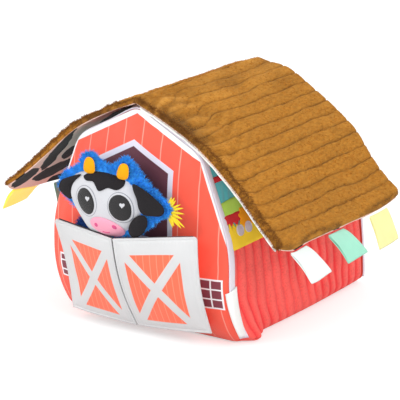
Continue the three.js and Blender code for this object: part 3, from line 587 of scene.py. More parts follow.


# the rib grooves are painted darker, as painted shade
redPile = pileMaterial(
    "redPile", (255, 100, 92), (240, 34, 46), sheen=0.4, fibres=560.0, variation=1.1, paintedShade=True
)
darkCloth = clothMaterial("darkCloth", (48, 42, 50), roughness=0.85, variation=0.5)
# white satin with painted shade: the lavender tint and lower value stand in for shade on the side-facing strip
bindingSatin = clothMaterial("bindingSatin", (232, 226, 238), roughness=0.5, sheen=0.1, variation=0.12)
whiteSatin = clothMaterial("whiteSatin", (246, 249, 247), roughness=0.42, sheen=0.1, variation=0.1)
fibreWhite = pileMaterial("fibreWhite", (240, 238, 232), (200, 198, 192))


boardPrint = {  # millimetres on the two end panels
    "board": 10.5,  # half a board, from one painted line to the middle between two
    "boardShift": 411.0,
    "line": 0.55,
    "lineStrength": 0.42,
    "upperEdging": 5.0,
    "lowerEdging": 2.0,
    "leftEdgingFrom": 128.0,
    "loft": {"half": 45.0, "sill": 96.0, "shoulder": 170, "peak": 194, "frame": 5.5},
    "window": {
        "x": 81.5, "z": 53.0, "halfWidth": 12.0, "halfHeight": 12.5, "frame": 1.7, "bar": 0.75, "pane": 5.0,
    },
    "rightWindow": {"x": 4.0, "z": 2.0, "halfHeight": 3.0},  # added on the right side
    "soft": 0.15,
    "windowSoft": 0.12,
}


def printedBoards():  # painted boards, a pale edge, the loft opening and two small windows
    material, tree, shader = startMaterial("printedBoards", 0.62, 0.12)
    soft, fine = boardPrint["soft"], boardPrint["windowSoft"]
    x, _, z = millimetres(tree)
    side = calc(tree, "ABSOLUTE", x)
    rightSide = above(tree, x, 0.0, 0.5)
    weave = useGroup(tree, wovenCloth, placeIn(tree), 1500.0, 30.0)
    colour = linear(252, 91, 69)
    white = linear(244, 243, 246)

    board = calc(tree, "PINGPONG", calc(tree, "ADD", x, boardPrint["boardShift"]), boardPrint["board"])
    line = calc(tree, "MULTIPLY", below(tree, board, boardPrint["line"], 0.2), boardPrint["lineStrength"])
    colour = paint(tree, line, colour, linear(255, 206, 190))

    eave, shoulder, peak = barn["corners"][2:5]
    upper = above(tree, pastLine(tree, side, z, shoulder, peak), -boardPrint["upperEdging"], soft)
    steep = above(tree, pastLine(tree, side, z, eave, shoulder), -boardPrint["lowerEdging"], soft)
    shown = calc(tree, "MAXIMUM", rightSide, above(tree, z, boardPrint["leftEdgingFrom"], 3.0))
    edging = calc(tree, "MULTIPLY", calc(tree, "MAXIMUM", upper, steep), shown)
    colour = paint(tree, edging, colour, white)

    loft = boardPrint["loft"]
    pastSide = calc(tree, "SUBTRACT", side, loft["half"])
    pastSill = calc(tree, "SUBTRACT", loft["sill"], z)
    pastRoof = pastLine(tree, side, z, (loft["half"], loft["shoulder"]), (0, loft["peak"]))
    opening = calc(tree, "MAXIMUM", calc(tree, "MAXIMUM", pastSide, pastSill), pastRoof)
    colour = paint(tree, below(tree, opening, 0.0, soft), colour, linear(222, 218, 232))
    colour = paint(tree, below(tree, opening, -loft["frame"], soft), colour, linear(92, 42, 56))

    window = boardPrint["window"]
    middleX, middleZ, halfHeight = (
        calc(tree, "MULTIPLY_ADD", rightSide, boardPrint["rightWindow"][key], window[key])
        for key in ("x", "z", "halfHeight")
    )
    across = apart(tree, side, middleX)
    upright = apart(tree, z, middleZ)
    pastFrame = calc(tree, "SUBTRACT", across, window["halfWidth"])
    outside = calc(tree, "MAXIMUM", pastFrame, calc(tree, "SUBTRACT", upright, halfHeight))
    shelf = calc(tree, "PINGPONG", calc(tree, "ADD", upright, window["pane"]), window["pane"])
    bars = calc(tree, "MINIMUM", across, shelf)
    colour = paint(tree, below(tree, outside, 0.0, fine), colour, white)
    pane = calc(
        tree, "MULTIPLY", below(tree, outside, -window["frame"], fine), above(tree, bars, window["bar"], fine)
    )
    colour = paint(tree, pane, colour, linear(126, 52, 66))

    plug(tree, shader.inputs["Base Color"], shaded(tree, colour, weave.outputs["Shade"], 0.14))
    addRelief(tree, shader, weave.outputs["Height"], 0.25, 0.12)
    return material


def makeFace(name, surface, sign, material, node, seed):
    loop = evenly(np.vstack([gable, gable[:1]]), 240, closed=True)
    wrinkle, pucker = barn["wrinkle"], barn["pucker"]

    def front(x, z, share):
        points = np.column_stack([x, z])
        fromSeam = 1 - share
        puckered = fade(share - pucker["startShare"], pucker["growShare"]) * fade(fromSeam, pucker["fadeShare"])
        lumps = wrinkle["height"] * softNoise(points, wrinkle["size"], seed)
        ripples = pucker["height"] * puckered * softNoise(points, pucker["size"], seed + 1)
        return surface(x, z) + sign * (lumps * fade(fromSeam, wrinkle["fadeShare"]) + ripples)

    def back(x, z, share):
        return front(x, z, share) - sign * barn["panel"] * fade(1 - share, barn["panelFadeShare"])

    piece = pressedBall(name, loop, gableCentre, front, back, 44)
    return dress(piece, "barn", material, "printed_satin", node)


def makeWall(name, start, end, node, seed):
    columns, rows = wall["ribs"] * wall["columnsPerRib"], wall["rows"]
    crumple = wall["crumple"]

    def place(along, up):
        cloth = np.column_stack([along * barn["length"], up * barn["wallHeight"]])
        drift = wall["driftShare"] * np.sin(up * 5 + along * 9) * np.sin(math.pi * along)
        groove = ribGroove(np.clip(along + drift, 0, 1))
        height = lerp(wall["seamShare"], 1 - wall["seamShare"], up)
        x, z = edgeRun(start, end, height, groove * wall["ribDepth"] - wall["lift"])
        point = sidePoint(x, z, along)
        lumps = softNoise(cloth, crumple["size"], seed) * crumple["height"]
        lumps = lumps * np.sin(math.pi * np.clip(up, 0, 1)) ** 0.5 * np.sin(math.pi * along) ** 0.4
        point[:, 0] += np.sign(point[:, 0]) * lumps
        return point

    piece = bentGrid(name, columns, rows, place)
    onRight = readPoints(piece)[:, 0].mean() > 0
    ribShares = np.tile(np.linspace(0, 1, columns + 1), rows + 1)
    # painted shade, darkest in the rib grooves
    storeShade(piece, "paintedShade", wall["paintedShade"] * ribGroove(ribShares) ** wall["paintedShadeCurve"])
    thicken(piece, wall["thickness"], offset=-1 if onRight else 1)
    return dress(piece, "barn", redPile, "red_plush", node)


def makeStrip(name, start, end, node, columns=60, rows=24):
    def place(along, up):
        x, z = edgeRun(start, end, up, 0.0)
        return sidePoint(x, z, along)

    piece = bentGrid(name, columns, rows, place)
    cutCloth(piece, "stretched")
    thicken(piece, barn["stripThickness"], offset=0)
    return dress(piece, "barn", redPile, "red_plush", node)


binding = {
    "endPlaces": 8,  # how far along the outline from the base corners it starts
    "leftStartShare": 0.53,
    "leftGrowShare": 0.04,
    "lift": {"right": 1.2, "left": 0.2},
    "round": 0.5,
    "wide": {"low": 8.0, "high": 6.2, "from": 100, "over": 40},
    "backWide": 2.5,
    "tuck": {"right": 0.1, "left": -0.25},
    "backTuckShare": 0.4,
    "thickness": 1.0,
}


def makeBinding(name, atFront, node):
    wide, tuck, lift = binding["wide"], binding["tuck"], binding["lift"]

    def place(across, along):
        left = fade(along - binding["leftStartShare"], binding["leftGrowShare"])  # tucked back on this side
        outward = -lerp(lift["right"], lift["left"], left) - binding["round"] * np.sin(math.pi * across)
        ends = seams["rightBase"] + binding["endPlaces"], seams["leftBase"] - binding["endPlaces"]
        x, z = edgeRun(*ends, along, outward)
        edge = frontY(x, z) if atFront else backY(x, z)
        inward = -binding["backWide"]
        if atFront:
            inward = lerp(wide["low"], wide["high"], fade(z - wide["from"], wide["over"]))
        tucked = lerp(tuck["right"], tuck["left"], left) * (1 if atFront else binding["backTuckShare"])
        return throughDepth(x, z, edge + inward * (across * 1.1 - tucked))

    piece = bentGrid(name, 8, 260, place)
    thicken(piece, binding["thickness"], offset=0)
    return dress(piece, "barn", bindingSatin, "binding", node)


boards = printedBoards()
makeFace("printed_front", frontY, -1, boards, "front_panel", 3)
makeFace("printed_back", backY, 1, boards, "back_panel", 9)
makeWall("right_plush_wall", seams["rightBase"], seams["rightWall"], "right_wall", 5)
makeWall("left_plush_wall", seams["leftWall"], seams["leftBase"], "left_wall", 6)
makeBinding("front_seam_binding", True, "front_binding")
makeBinding("back_seam_binding", False, "back_binding")
makeStrip("plush_base", seams["leftBase"], seams["rightBase"] + len(gable), "base_panel", 80, 80)
makeStrip("right_top_cover_plush", seams["rightShoulder"], seams["gable"], "right_top_cover")
makeStrip("left_top_cover_plush", seams["gable"], seams["leftShoulder"], "left_top_cover")
print("body ready")


# Activity panel on the steep right slope

slope = {
    "teal": (92, 206, 216),
    "green": (196, 246, 92),
    "red": (214, 46, 52),
    "orange": (252, 164, 24),
    "yellow": (255, 218, 52),
    "grey": (206, 198, 208),
    "gather": {"height": 0.35, "pleats": 140},
    "panelThickness": 1.0,
    "patchThickness": 0.9,
    "patchLift": 0.5,
    "puff": 0.7,
    "puffNoise": {"height": 0.25, "size": 11, "seed": 4, "wide": 14},
    "bandEnds": (0.008, 0.94),  # shares of the length, from the front
    "shortEnds": (0.008, 0.6),
    "coarseRows": 20,  # a patch with no more rows than this is small trim, not a sheet
    "disc": {"radius": 5.4, "depth": 1.6, "rim": 1.0, "groove": 0.5, "inner": 1.6, "bevel": 0.35, "lift": 2.5},
    "sunburst": {
        "radius": 10.5, "depth": 0.9, "waves": 9, "waveShare": 0.1, "edge": 0.8, "raised": 0.4, "lift": 1.6,
    },
    "tab": {"top": 60, "long": 49, "out": 2.6, "behind": 2.0, "thickness": 0.9},
}


def slopePoint(along, up, inset):
    x, z = edgeRun(seams["rightWall"], seams["rightShoulder"], up, inset)
    return sidePoint(x, z, along)


tealSatin = satinMaterial("tealSatin", slope["teal"])
greenCloth = clothMaterial("greenCloth", slope["green"], roughness=0.7)
redFelt = feltMaterial("redFelt", slope["red"])
yellowFelt = feltMaterial("yellowFelt", slope["yellow"])
orangeFelt = feltMaterial("orangeFelt", slope["orange"])
greyFelt = feltMaterial("greyFelt", slope["grey"], 0.2)


def zigzag(teeth, along, seed):
    height = np.abs(np.mod(along * teeth, 1) * 2 - 1)
    tooth = np.floor(along * teeth + 0.5).astype(int)
    return height * np.random.default_rng(seed).uniform(0.55, 1.25, teeth + 2)[tooth]


def slopePatch(name, ends, lowAt, highAt, material, slot, node, columns=150, rows=24, lift=slope["patchLift"]):
    noise = slope["puffNoise"]

    def place(along, up):
        share = lerp(ends[0], ends[1], along)
        cloth = np.column_stack([share * barn["length"], up * noise["wide"]])
        edge = np.minimum(np.minimum(up, 1 - up) * 9, 1)
        puff = slope["puff"] * np.sqrt(np.clip(edge, 0, 1))
        puff = puff + noise["height"] * softNoise(cloth, noise["size"], noise["seed"])
        return slopePoint(share, lerp(lowAt(along), highAt(along), up), -lift - puff)

    piece = bentGrid(name, columns, rows, place)
    if rows > slope["coarseRows"]:
        cutCloth(piece, "laid", "right_satin_slope")
    thicken(piece, slope["patchThickness"], offset=0)
    return dress(piece, "barn", material, slot, node)


def makeActivityPanel():
    gather = slope["gather"]
    for side, start, end in (("right", "rightWall", "rightShoulder"), ("left", "leftShoulder", "leftWall")):
        def place(along, up, start=start, end=end):
            pleat = np.sin(along * gather["pleats"] + 3 * np.sin(up * 7)) * np.sin(math.pi * up)
            x, z = edgeRun(seams[start], seams[end], up, gather["height"] * pleat)
            return sidePoint(x, z, along)

        panel = bentGrid(side + "_satin_slope", 220, 40, place)
        cutCloth(panel, "stretched")
        thicken(panel, slope["panelThickness"], offset=0)
        dress(panel, "barn", tealSatin, "teal_satin", side + "_activity_panel")

    # heights are shares of the slope, from its lower seam up
    ends, short = slope["bandEnds"], slope["shortEnds"]
    red, green, yellow = (redFelt, "red_felt"), (greenCloth, "green_cloth"), (yellowFelt, "yellow_felt")
    hillTop = lambda a: 0.455 + 0.02 * np.sin(3 * math.pi * a)
    fringeLow = lambda a: 0.235 - 0.05 * zigzag(15, a, 2)
    strawLow = lambda a: -0.055 + 0.02 * a
    strawTop = lambda a: 0.165 + 0.075 * zigzag(23, a, 5)
    slopePatch("red_cap_band", ends, lambda a: 0.87, lambda a: 0.985, *red, "right_cap_band")
    slopePatch("red_thin_band", ends, lambda a: 0.685, lambda a: 0.74, *red, "right_thin_band", rows=10)
    slopePatch("green_hill", ends, lambda a: 0.31, hillTop, *green, "right_hill_patch")
    slopePatch("red_fringe", short, fringeLow, lambda a: 0.32, *red, "right_red_fringe", 290, 14, 0.9)
    slopePatch("yellow_straw", short, strawLow, strawTop, *yellow, "right_straw_patch", 340, 24, 0.8)


def slopeFrame(up, along):
    origin = slopePoint(np.array([along]), np.array([up]), 0.0)[0]
    upward = slopePoint(np.array([along]), np.array([up + 0.02]), 0.0)[0] - origin
    backward = slopePoint(np.array([along + 0.01]), np.array([up]), 0.0)[0] - origin
    upward /= np.linalg.norm(upward)
    backward /= np.linalg.norm(backward)
    outward = np.cross(backward, upward)
    return origin, upward, backward, outward / np.linalg.norm(outward)


def layOnSlope(piece, up, along, lift):  # the piece was made flat in x and y, with z up off the cloth
    origin, upward, backward, outward = slopeFrame(up, along)
    flat = readPoints(piece) / mm
    placed = origin + flat[:, :1] * backward + flat[:, 1:2] * upward + (flat[:, 2:] + lift) * outward
    writePoints(piece, placed * mm)
    turnOutwards(piece)


def makeDisc(name, up, along, node):
    disc = slope["disc"]
    deselectAll()
    bpy.ops.mesh.primitive_cylinder_add(vertices=48, radius=disc["radius"] * mm, depth=disc["depth"] * mm)
    piece = bpy.context.object
    piece.name = piece.data.name = name
    editTopFaces(piece)
    bpy.ops.mesh.inset(thickness=disc["rim"] * mm)
    bpy.ops.mesh.extrude_region_move(TRANSFORM_OT_translate={"value": (0, 0, -disc["groove"] * mm)})
    bpy.ops.mesh.inset(thickness=disc["inner"] * mm)
    bpy.ops.transform.translate(value=(0, 0, disc["groove"] * mm))
    bpy.ops.object.mode_set(mode="OBJECT")
    bevel = piece.modifiers.new("soft edges", "BEVEL")
    bevel.width = disc["bevel"] * mm
    bevel.segments = 3
    applyModifiers(piece)
    layOnSlope(piece, up, along, disc["lift"])
    return dress(piece, "barn", greyFelt, "grey_felt", node)


def makeSunburst():
    burst = slope["sunburst"]
    deselectAll()
    bpy.ops.mesh.primitive_cylinder_add(vertices=108, radius=1, depth=burst["depth"] * mm)
    piece = bpy.context.object
    piece.name = piece.data.name = "orange_sunburst"
    ring = readPoints(piece)
    angle = np.arctan2(ring[:, 1], ring[:, 0])
    reach = burst["radius"] * (1 + burst["waveShare"] * np.cos(angle * burst["waves"]))
    writePoints(piece, np.column_stack([reach * np.cos(angle), reach * np.sin(angle), ring[:, 2] / mm]) * mm)
    editTopFaces(piece)
    bpy.ops.mesh.inset(thickness=burst["edge"] * mm)
    bpy.ops.transform.translate(value=(0, 0, burst["raised"] * mm))
    bpy.ops.object.mode_set(mode="OBJECT")
    layOnSlope(piece, 0.235, 0.155, burst["lift"])
    return dress(piece, "barn", orangeFelt, "orange_felt", "right_orange_patch")


def makeSeamTab():  # folded over the front corner
    tab = slope["tab"]

    def place(across, down):
        height = tab["top"] - tab["long"] * down
        x, z = edgeRun(seams["rightBase"], seams["rightWall"], height / barn["wallHeight"], -tab["out"])
        onWall = throughDepth(x, z, frontY(x, z) + tab["behind"])
        corner = np.column_stack([onWall[:, 0], frontY(x, z), z])
        t, low = across[:, None], down[:, None]
        before = lerp(np.array([-5.0, -2.2, -1.5]), np.array([-0.5, -2.0, 0.0]), low)
        bend, after = np.array([2.5, -4.0, 1.0]), np.array([1.0, 7.5, 0.0]) + [0, 0, 4.5] * (1 - low)
        return corner + (1 - t) ** 2 * before + 2 * t * (1 - t) * bend + t * t * after

    piece = bentGrid("white_seam_tab", 20, 40, place)
    cutCloth(piece, "folded", "right_plush_wall")
    thicken(piece, tab["thickness"], offset=0)
    return dress(piece, "barn", whiteSatin, "white_satin", "side_ribbon_tab")


makeActivityPanel()
makeDisc("front_button_disc", 0.128, 0.09, "right_front_disc")
makeDisc("rear_button_disc", 0.13, 0.15, "right_rear_disc")
makeSunburst()
makeSeamTab()
print("activity panel ready")


# Doors

door = {
    "hingeX": 80,
    "meetingGap": 1.2,
    "centre": {"bottomReach": 30, "topReach": 71, "bottomZ": 8, "topZ": 105.6, "bow": 7},
    "left": {
        "sign": -1, "bottomReach": 27, "topReach": 55, "bottomZ": 9.6, "topZ": 108, "bow": -4, "lap": 0.4,
    },
    "right": {
        "sign": 1, "bottomReach": 28, "topReach": 52.5, "bottomZ": 15.5, "topZ": 117.5, "bow": 7, "lap": 4.8,
    },
    "width": 80,  # of one leaf's cloth, and its height
    "height": 98,
    "belly": 0.03,
    "corner": 0.045,
    "leafThickness": 1.5,
    "liningThickness": 0.8,
    "liningDepth": 2.95,
    "gussetThickness": 0.9,
    "carriedDepth": 3.5,  # where the gussets and the pocket's floor meet the leaf
    "pocketReach": 79.0,
    "pocketLift": 2.1,
}
leafCloth = {  # the quilted surface of a leaf
    "stitchInset": 3.3,
    "puff": 1.3,
    "puffOver": 9,
    "channel": {"height": 0.35, "inset": 3.2, "width": 0.7},
    "rim": {"height": 0.5, "width": 2.4},
    "lumps": {"height": 0.5, "size": 38, "seed": 11},
    "pucker": {"height": 0.22, "waves": 150, "inset": 5, "width": 3},
    "front": 0.9,
}
leafLining = {
    "startShares": (0.03, 0.05),  # from the hinge side, low down and higher up
    "startOver": 0.4,
    "rightStart": 0.02,
    "upShares": (0.012, 0.999),
    "lumps": {"height": 0.15, "size": 20, "seed": 8},
}
gussetCloth = {"reaches": (71.5, 79.6), "bulge": 1.6, "upShares": (0.01, 0.9), "onPanel": 0.2}
leafPrint = {  # shares of a leaf's width and height
    "panelFrom": (0.2, 0.095),
    "panelSize": (0.68, 0.735),
    "brace": 0.1,
    "board": 0.0405,
    "line": 0.005,
}


def doorPoint(side, across, up, depth):
    centre = door["centre"]
    x = lerp(side["sign"] * (door["hingeX"] + side["lap"]), side["sign"] * door["meetingGap"] / 2, across)
    outer, inner = (
        -lerp(edge["bottomReach"], edge["topReach"], up) - edge["bow"] * np.sin(math.pi * up) - barn["length"] / 2
        for edge in (side, centre)
    )
    low = lerp(side["bottomZ"], centre["bottomZ"], across)
    high = lerp(side["topZ"], centre["topZ"], across)
    belly = door["belly"] * door["hingeX"] * np.sin(math.pi * across) * (1 - up * up)
    return np.column_stack([x, lerp(outer, inner, across) + depth - belly, lerp(low, high, up)])


def roundedCorner(across, up):  # rounds the outer top corner
    size = door["corner"]
    p = np.clip((size - across) / size, 0, 1)
    q = np.clip((up - (1 - size)) / size, 0, 1)
    inside = (p > 0) & (q > 0)
    across = np.where(inside, size - size * p * np.sqrt(1 - q * q / 2), across)
    up = np.where(inside, (1 - size) + size * q * np.sqrt(1 - p * p / 2), up)
    return across, up


def printedLeaf():  # a white frame and crossed braces over red boards
    material, tree, shader = startMaterial("printedLeaf", 0.6, 0.12)
    uv = addNode(tree, "ShaderNodeSeparateXYZ")
    tree.links.new(placeIn(tree, "UV"), uv.inputs[0])
    across, up = uv.outputs[0], uv.outputs[1]
    weave = useGroup(tree, wovenCloth, placeIn(tree), 1500.0, 30.0)
    sideways, upright = (  # 0 to 1 over the braced panel
        calc(tree, "MULTIPLY_ADD", share, 1 / size, -start / size)
        for share, start, size in zip((across, up), leafPrint["panelFrom"], leafPrint["panelSize"])
    )
    inWidth, inHeight = between(tree, sideways, 0.0, 1.0, 0.004), between(tree, upright, 0.0, 1.0, 0.003)
    inside = calc(tree, "MULTIPLY", inWidth, inHeight)
    rising, falling = (
        above(tree, distance, leafPrint["brace"], 0.004)
        for distance in (apart(tree, sideways, upright), apart(tree, calc(tree, "ADD", sideways, upright), 1.0))
    )
    clear = calc(tree, "MULTIPLY", rising, falling)
    boardLine = below(tree, calc(tree, "PINGPONG", across, leafPrint["board"]), leafPrint["line"], 0.003)
    red = paint(tree, calc(tree, "MULTIPLY", boardLine, 0.3), linear(252, 112, 80), linear(255, 190, 165))
    colour = paint(tree, calc(tree, "MULTIPLY", inside, clear), linear(211, 212, 213), red)
    plug(tree, shader.inputs["Base Color"], shaded(tree, colour, weave.outputs["Shade"], 0.1))
    addRelief(tree, shader, weave.outputs["Height"], 0.25, 0.12)
    return material


def makeStitches(name, body, slot, material, paths, pitch=3.4, length=2.3, radius=0.32):
    # one stitch is modelled and copied along each path of points and outward directions
    deselectAll()
    bpy.ops.mesh.primitive_uv_sphere_add(segments=6, ring_count=6, radius=1)
    stitch = bpy.context.object
    shape = readPoints(stitch)
    faces = [list(face.vertices) for face in stitch.data.polygons]
    bpy.data.objects.remove(stitch)
    ahead = 0.5  # how far on along the path a stitch looks for its direction
    allPoints, allFaces = [], []
    for points, outward in paths:
        steps = np.linalg.norm(np.diff(points, axis=0), axis=1)
        reach = np.concatenate([[0], np.cumsum(steps)])

        def read(line, place):
            return np.array([np.interp(place, reach, line[:, k]) for k in range(3)])

        for place in np.arange(pitch, reach[-1] - pitch / 2, pitch):
            at = read(points, place)
            forward = read(points, place + ahead) - at
            out = read(outward, place)
            forward /= np.linalg.norm(forward)
            beside = np.cross(out, forward)
            start = len(allPoints) * len(shape)
            long, wide, tall = (shape[:, k : k + 1] for k in (2, 0, 1))
            allPoints.append(at + long * forward * length / 2 + wide * beside * radius + tall * out * radius)
            allFaces += [[start + corner for corner in face] for face in faces]
    piece = meshPiece(name, np.vstack(allPoints), allFaces)
    turnOutwards(piece)
    return dress(piece, body, material, slot)


printedDoor = printedLeaf()
gussetRed = clothMaterial("gussetRed", (252, 96, 72), roughness=0.65, threads=1500.0)
whiteThread = clothMaterial("whiteThread", (214, 214, 216), roughness=0.7, threads=3000.0)


def leafDepth(across, up, sign):  # how the quilted leaf rises and falls about its middle layer
    channel, rim, lumps, pucker = (leafCloth[key] for key in ("channel", "rim", "lumps", "pucker"))
    width, height = door["width"], door["height"]
    edge = np.minimum(np.minimum(across, 1 - across) * width, np.minimum(up, 1 - up) * height)
    puff = leafCloth["puff"] * fade(edge - channel["inset"], leafCloth["puffOver"]) ** 0.5
    puff = puff + rim["height"] * fade(rim["width"] - edge, rim["width"])
    groove = channel["height"] * bump(edge, channel["inset"], channel["width"])
    cloth = np.column_stack([across * width * sign, up * height])
    soft = lumps["height"] * softNoise(cloth, lumps["size"], lumps["seed"] + sign) * np.clip(edge / 12, 0, 1)
    ripples = pucker["height"] * np.sin(across * pucker["waves"]) * bump(edge, pucker["inset"], pucker["width"])
    return leafCloth["front"] * (1 - puff) + groove - soft + ripples


def makeDoor(name):
    side = door[name]
    sign = side["sign"]
    width, height = door["width"], door["height"]

    def place(across, up):
        return doorPoint(side, *roundedCorner(across, up), leafDepth(across, up, sign))

    leaf = bentGrid(name + "_printed_leaf", 90, 100, place)
    thicken(leaf, door["leafThickness"], offset=-1 if sign > 0 else 1)
    dress(leaf, name + "_door", printedDoor, "door_print", name + "_door_face")

    def placeBack(across, up):
        start = lerp(*leafLining["startShares"], fade(up, leafLining["startOver"]))
        if name == "right":
            start = start + leafLining["rightStart"]
        lumps = leafLining["lumps"]
        cloth = np.column_stack([across * width, up * height])
        soft = lumps["height"] * softNoise(cloth, lumps["size"], lumps["seed"])
        corner = roundedCorner(lerp(start, 1.0, across), lerp(*leafLining["upShares"], up))
        return doorPoint(side, *corner, door["liningDepth"] + soft)

    lining = bentGrid(name + "_door_backing", 60, 70, placeBack)
    cutCloth(lining, "stretched", name + "_printed_leaf")
    thicken(lining, door["liningThickness"], offset=0)
    dress(lining, name + "_door", darkCloth, "dark_cloth", name + "_door_lining")

    inset, depth, count = leafCloth["stitchInset"], 0.6, 60
    along = np.linspace(0.02, 0.985, count)
    top = doorPoint(side, along, np.full(count, 1 - inset / height), depth)
    outer = doorPoint(side, np.full(count, inset / width), np.linspace(0.03, 0.95, count), depth)
    bottom = doorPoint(side, along, np.full(count, inset / height), depth)
    forward = np.tile([0.0, -1.0, 0.0], (count, 1))
    paths = [(top, forward), (outer, forward), (bottom, forward)]
    makeStitches(name + "_door_stitches", name + "_door", "binding", whiteThread, paths)

    def placeGusset(out, up):
        edge = doorPoint(side, np.zeros(len(up)), lerp(*gussetCloth["upShares"], up), door["carriedDepth"])
        bulge = gussetCloth["bulge"] * np.sin(math.pi * out) * np.sin(math.pi * up)
        x = sign * (lerp(*gussetCloth["reaches"], out) - bulge)
        panel = frontY(x, edge[:, 2]) - gussetCloth["onPanel"]
        return np.column_stack([x, lerp(panel, edge[:, 1], out), edge[:, 2]])

    gusset = bentGrid(name + "_side_gusset", 12, 50, placeGusset)
    cutCloth(gusset, "stretched", name + "_door_backing")
    thicken(gusset, door["gussetThickness"], offset=0)
    gusset.data.materials.append(gussetRed)
    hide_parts(name + "_door_gusset")
    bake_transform(gusset)


def makePocketFloor():
    def place(sideways, out):
        x = lerp(-door["pocketReach"], door["pocketReach"], sideways) * lerp(0.9, 1.0, out)
        result = np.zeros((len(x), 3))
        for name in ("left", "right"):
            chosen = x < 0 if name == "left" else x >= 0
            here, share = x[chosen], out[chosen]
            across = 1 - np.abs(here) / door["width"]
            edge = doorPoint(door[name], across, np.zeros(len(here)), door["carriedDepth"])
            z = edge[:, 2] + door["pocketLift"]
            y = lerp(frontY(here, z) - 0.3, edge[:, 1], share)
            result[chosen] = np.column_stack([here, y, z - 0.5 * np.sin(math.pi * share)])
        return result

    piece = bentGrid("pocket_floor_cloth", 80, 10, place)
    cutCloth(piece, "stretched", "left_printed_leaf", "right_printed_leaf")
    thicken(piece, door["gussetThickness"], offset=0)
    return dress(piece, "barn", darkCloth, "dark_cloth", "pocket_floor")


for name in ("left", "right"):
    makeDoor(name)
makePocketFloor()
print("doors ready")


# Roof

roof = {
    "ridgeZ": 235,
    "halfWidth": 165,
    "frontY": -147,
    "backY": 67,
    "drop": 116,
    "across": [0, 0.23, 0.45, 0.69, 0.86, 1],
    "frontDrop": {"right": [0, 0.14, 0.305, 0.575, 0.81, 1], "left": [0, 0.14, 0.315, 0.605, 0.8, 0.93]},
    "backDrop": {
        "right": [0.012, 0.078, 0.265, 0.515, 0.835, 1.02],
        "left": [0.012, 0.145, 0.3, 0.5, 0.795, 1.01],
    },
    "cornerReach": 9,
    "cornerLength": 25,
    "sag": {"right": (2, 50), "left": (11, 75)},  # how far, over what length
    "frontSag": {"right": 7, "left": 5},
    "gap": 0.8,
    "wales": 14,
    "waleDepth": 1.5,
    "edgeRoll": 3.6,
    "eaveRoll": 2.2,
    "underside": 6.6,
    "clothLength": 1.22,  # along the curve, as a share of the half width
    "backLift": {"height": 6, "length": 45},
    "plushThickness": 1.3,
    "linings": {"right": (0.82, 0.82), "left": (0.76, 0.66)},  # how deep it lies, ridge and eave
    "plushEdges": {"right": (0.75, 0.75), "left": (0.74, 0.46)},  # the same for the plush that is turned under
    "eaveFrom": 0.6,
    "liningThickness": 0.9,
    "film": {"margin": 0.06, "depth": 4.1, "thickness": 0.3},
    "piping": {"inset": 1.8, "wide": 1.4, "below": 2.4, "tall": 1.2, "wander": 0.3},
    "pileBlades": 26000,
    "edgeBlades": 5600,
}
wale = {  # shares are parts of one wale, or of the half width outwards
    "drifts": [(0.075, 44, 17), (0.03, 15, 19)],  # share, size in mm, seed
    "grooveShare": 0.06,
    "roundShare": 0.16,
    "soft": {"level": 0.8, "height": 0.35, "size": 30, "seed": 23},
    "creasedTo": 0.42,
    "creaseShift": {"share": 0.75, "middle": 46, "soft": 13, "end": 95, "fade": 40},
    "crumple": {"length": 70, "start": 1.15, "out": 1.3, "outFall": 1.7, "level": 0.6, "height": 1.1},
    "fold": {"pitch": 15, "wave": 9, "waveLength": 17, "slant": 0.35, "noise": 0.6, "size": 17, "seed": 21},
    # the dent by the front edge; it also gets painted shade
    "pressed": {"middle": 7, "width": 13, "outMiddle": 0.27, "outWidth": 0.22, "depth": 1.9},
    "ridge": {"to": 0.33, "depth": 1.3, "swell": 1.6, "size": 26, "seed": 27},
    "lumps": {"height": 0.8, "size": 52, "seed": 31},
    "dip": {"depth": 1.6, "middle": 50, "width": 12},
    "highest": -3,
    "deepest": 2.7,
}


def roofCurve(drops):
    knots = [(a * roof["halfWidth"], roof["ridgeZ"] - d * roof["drop"]) for a, d in zip(roof["across"], drops)]
    return evenly(smoothLine(knots, steps=60), 400)


roofFront = {side: roofCurve(drops) for side, drops in roof["frontDrop"].items()}
roofBack = {side: roofCurve(drops) for side, drops in roof["backDrop"].items()}
roofLength = roof["backY"] - roof["frontY"]


def roofPoint(sign, out, along, depth):
    side = "right" if sign > 0 else "left"
    fromFront = along * roofLength
    rounding = roof["cornerReach"] * np.clip(1 - fromFront / roof["cornerLength"], 0, None) ** 2
    out = out * (1 - rounding / roof["halfWidth"])
    shares = np.linspace(0, 1, 400)
    place, rise = 0, 0
    for curve, weight in ((roofFront[side], 1 - along), (roofBack[side], along)):
        place = place + np.column_stack([np.interp(out, shares, curve[:, k]) for k in (0, 1)]) * weight[:, None]
        rise = rise + np.interp(out, shares, np.gradient(curve[:, 1], curve[:, 0])) * weight
    steepness = np.hypot(1, rise)
    far = np.clip(out, 0, None)
    sagDrop, sagLength = roof["sag"][side]
    backLift = roof["backLift"]
    atFront = np.clip(1 - fromFront / sagLength, 0, None) ** 2
    atBack = np.clip(1 - (roofLength - fromFront) / backLift["length"], 0, None) ** 2
    sag = sagDrop * far**5 * (1 - atFront) + roof["frontSag"][side] * far**3 * atFront
    sag = sag - backLift["height"] * far**6 * atBack
    x = sign * (place[:, 0] + roof["gap"] / 2)
    y = lerp(roof["frontY"], roof["backY"], along)
    return np.column_stack([x, y, place[:, 1] - sag - depth * steepness])


def towardsEave(ends, side, out):  # a value that changes over the roof's outer part
    return lerp(*ends[side], fade(out - roof["eaveFrom"], 1 - roof["eaveFrom"]))


def edgeArc(distance, radius):
    # distance runs along the cloth from under the edge, round it and over the top:
    # gives how far in from the edge and how deep the cloth lies
    angle = np.clip(distance / radius, 0, math.pi)
    inset = radius * (1 - np.sin(angle))
    depth = radius * (1 + np.cos(angle))
    beyond = np.clip(distance - math.pi * radius, 0, None)
    return np.where(distance > math.pi * radius, radius + beyond, inset), depth
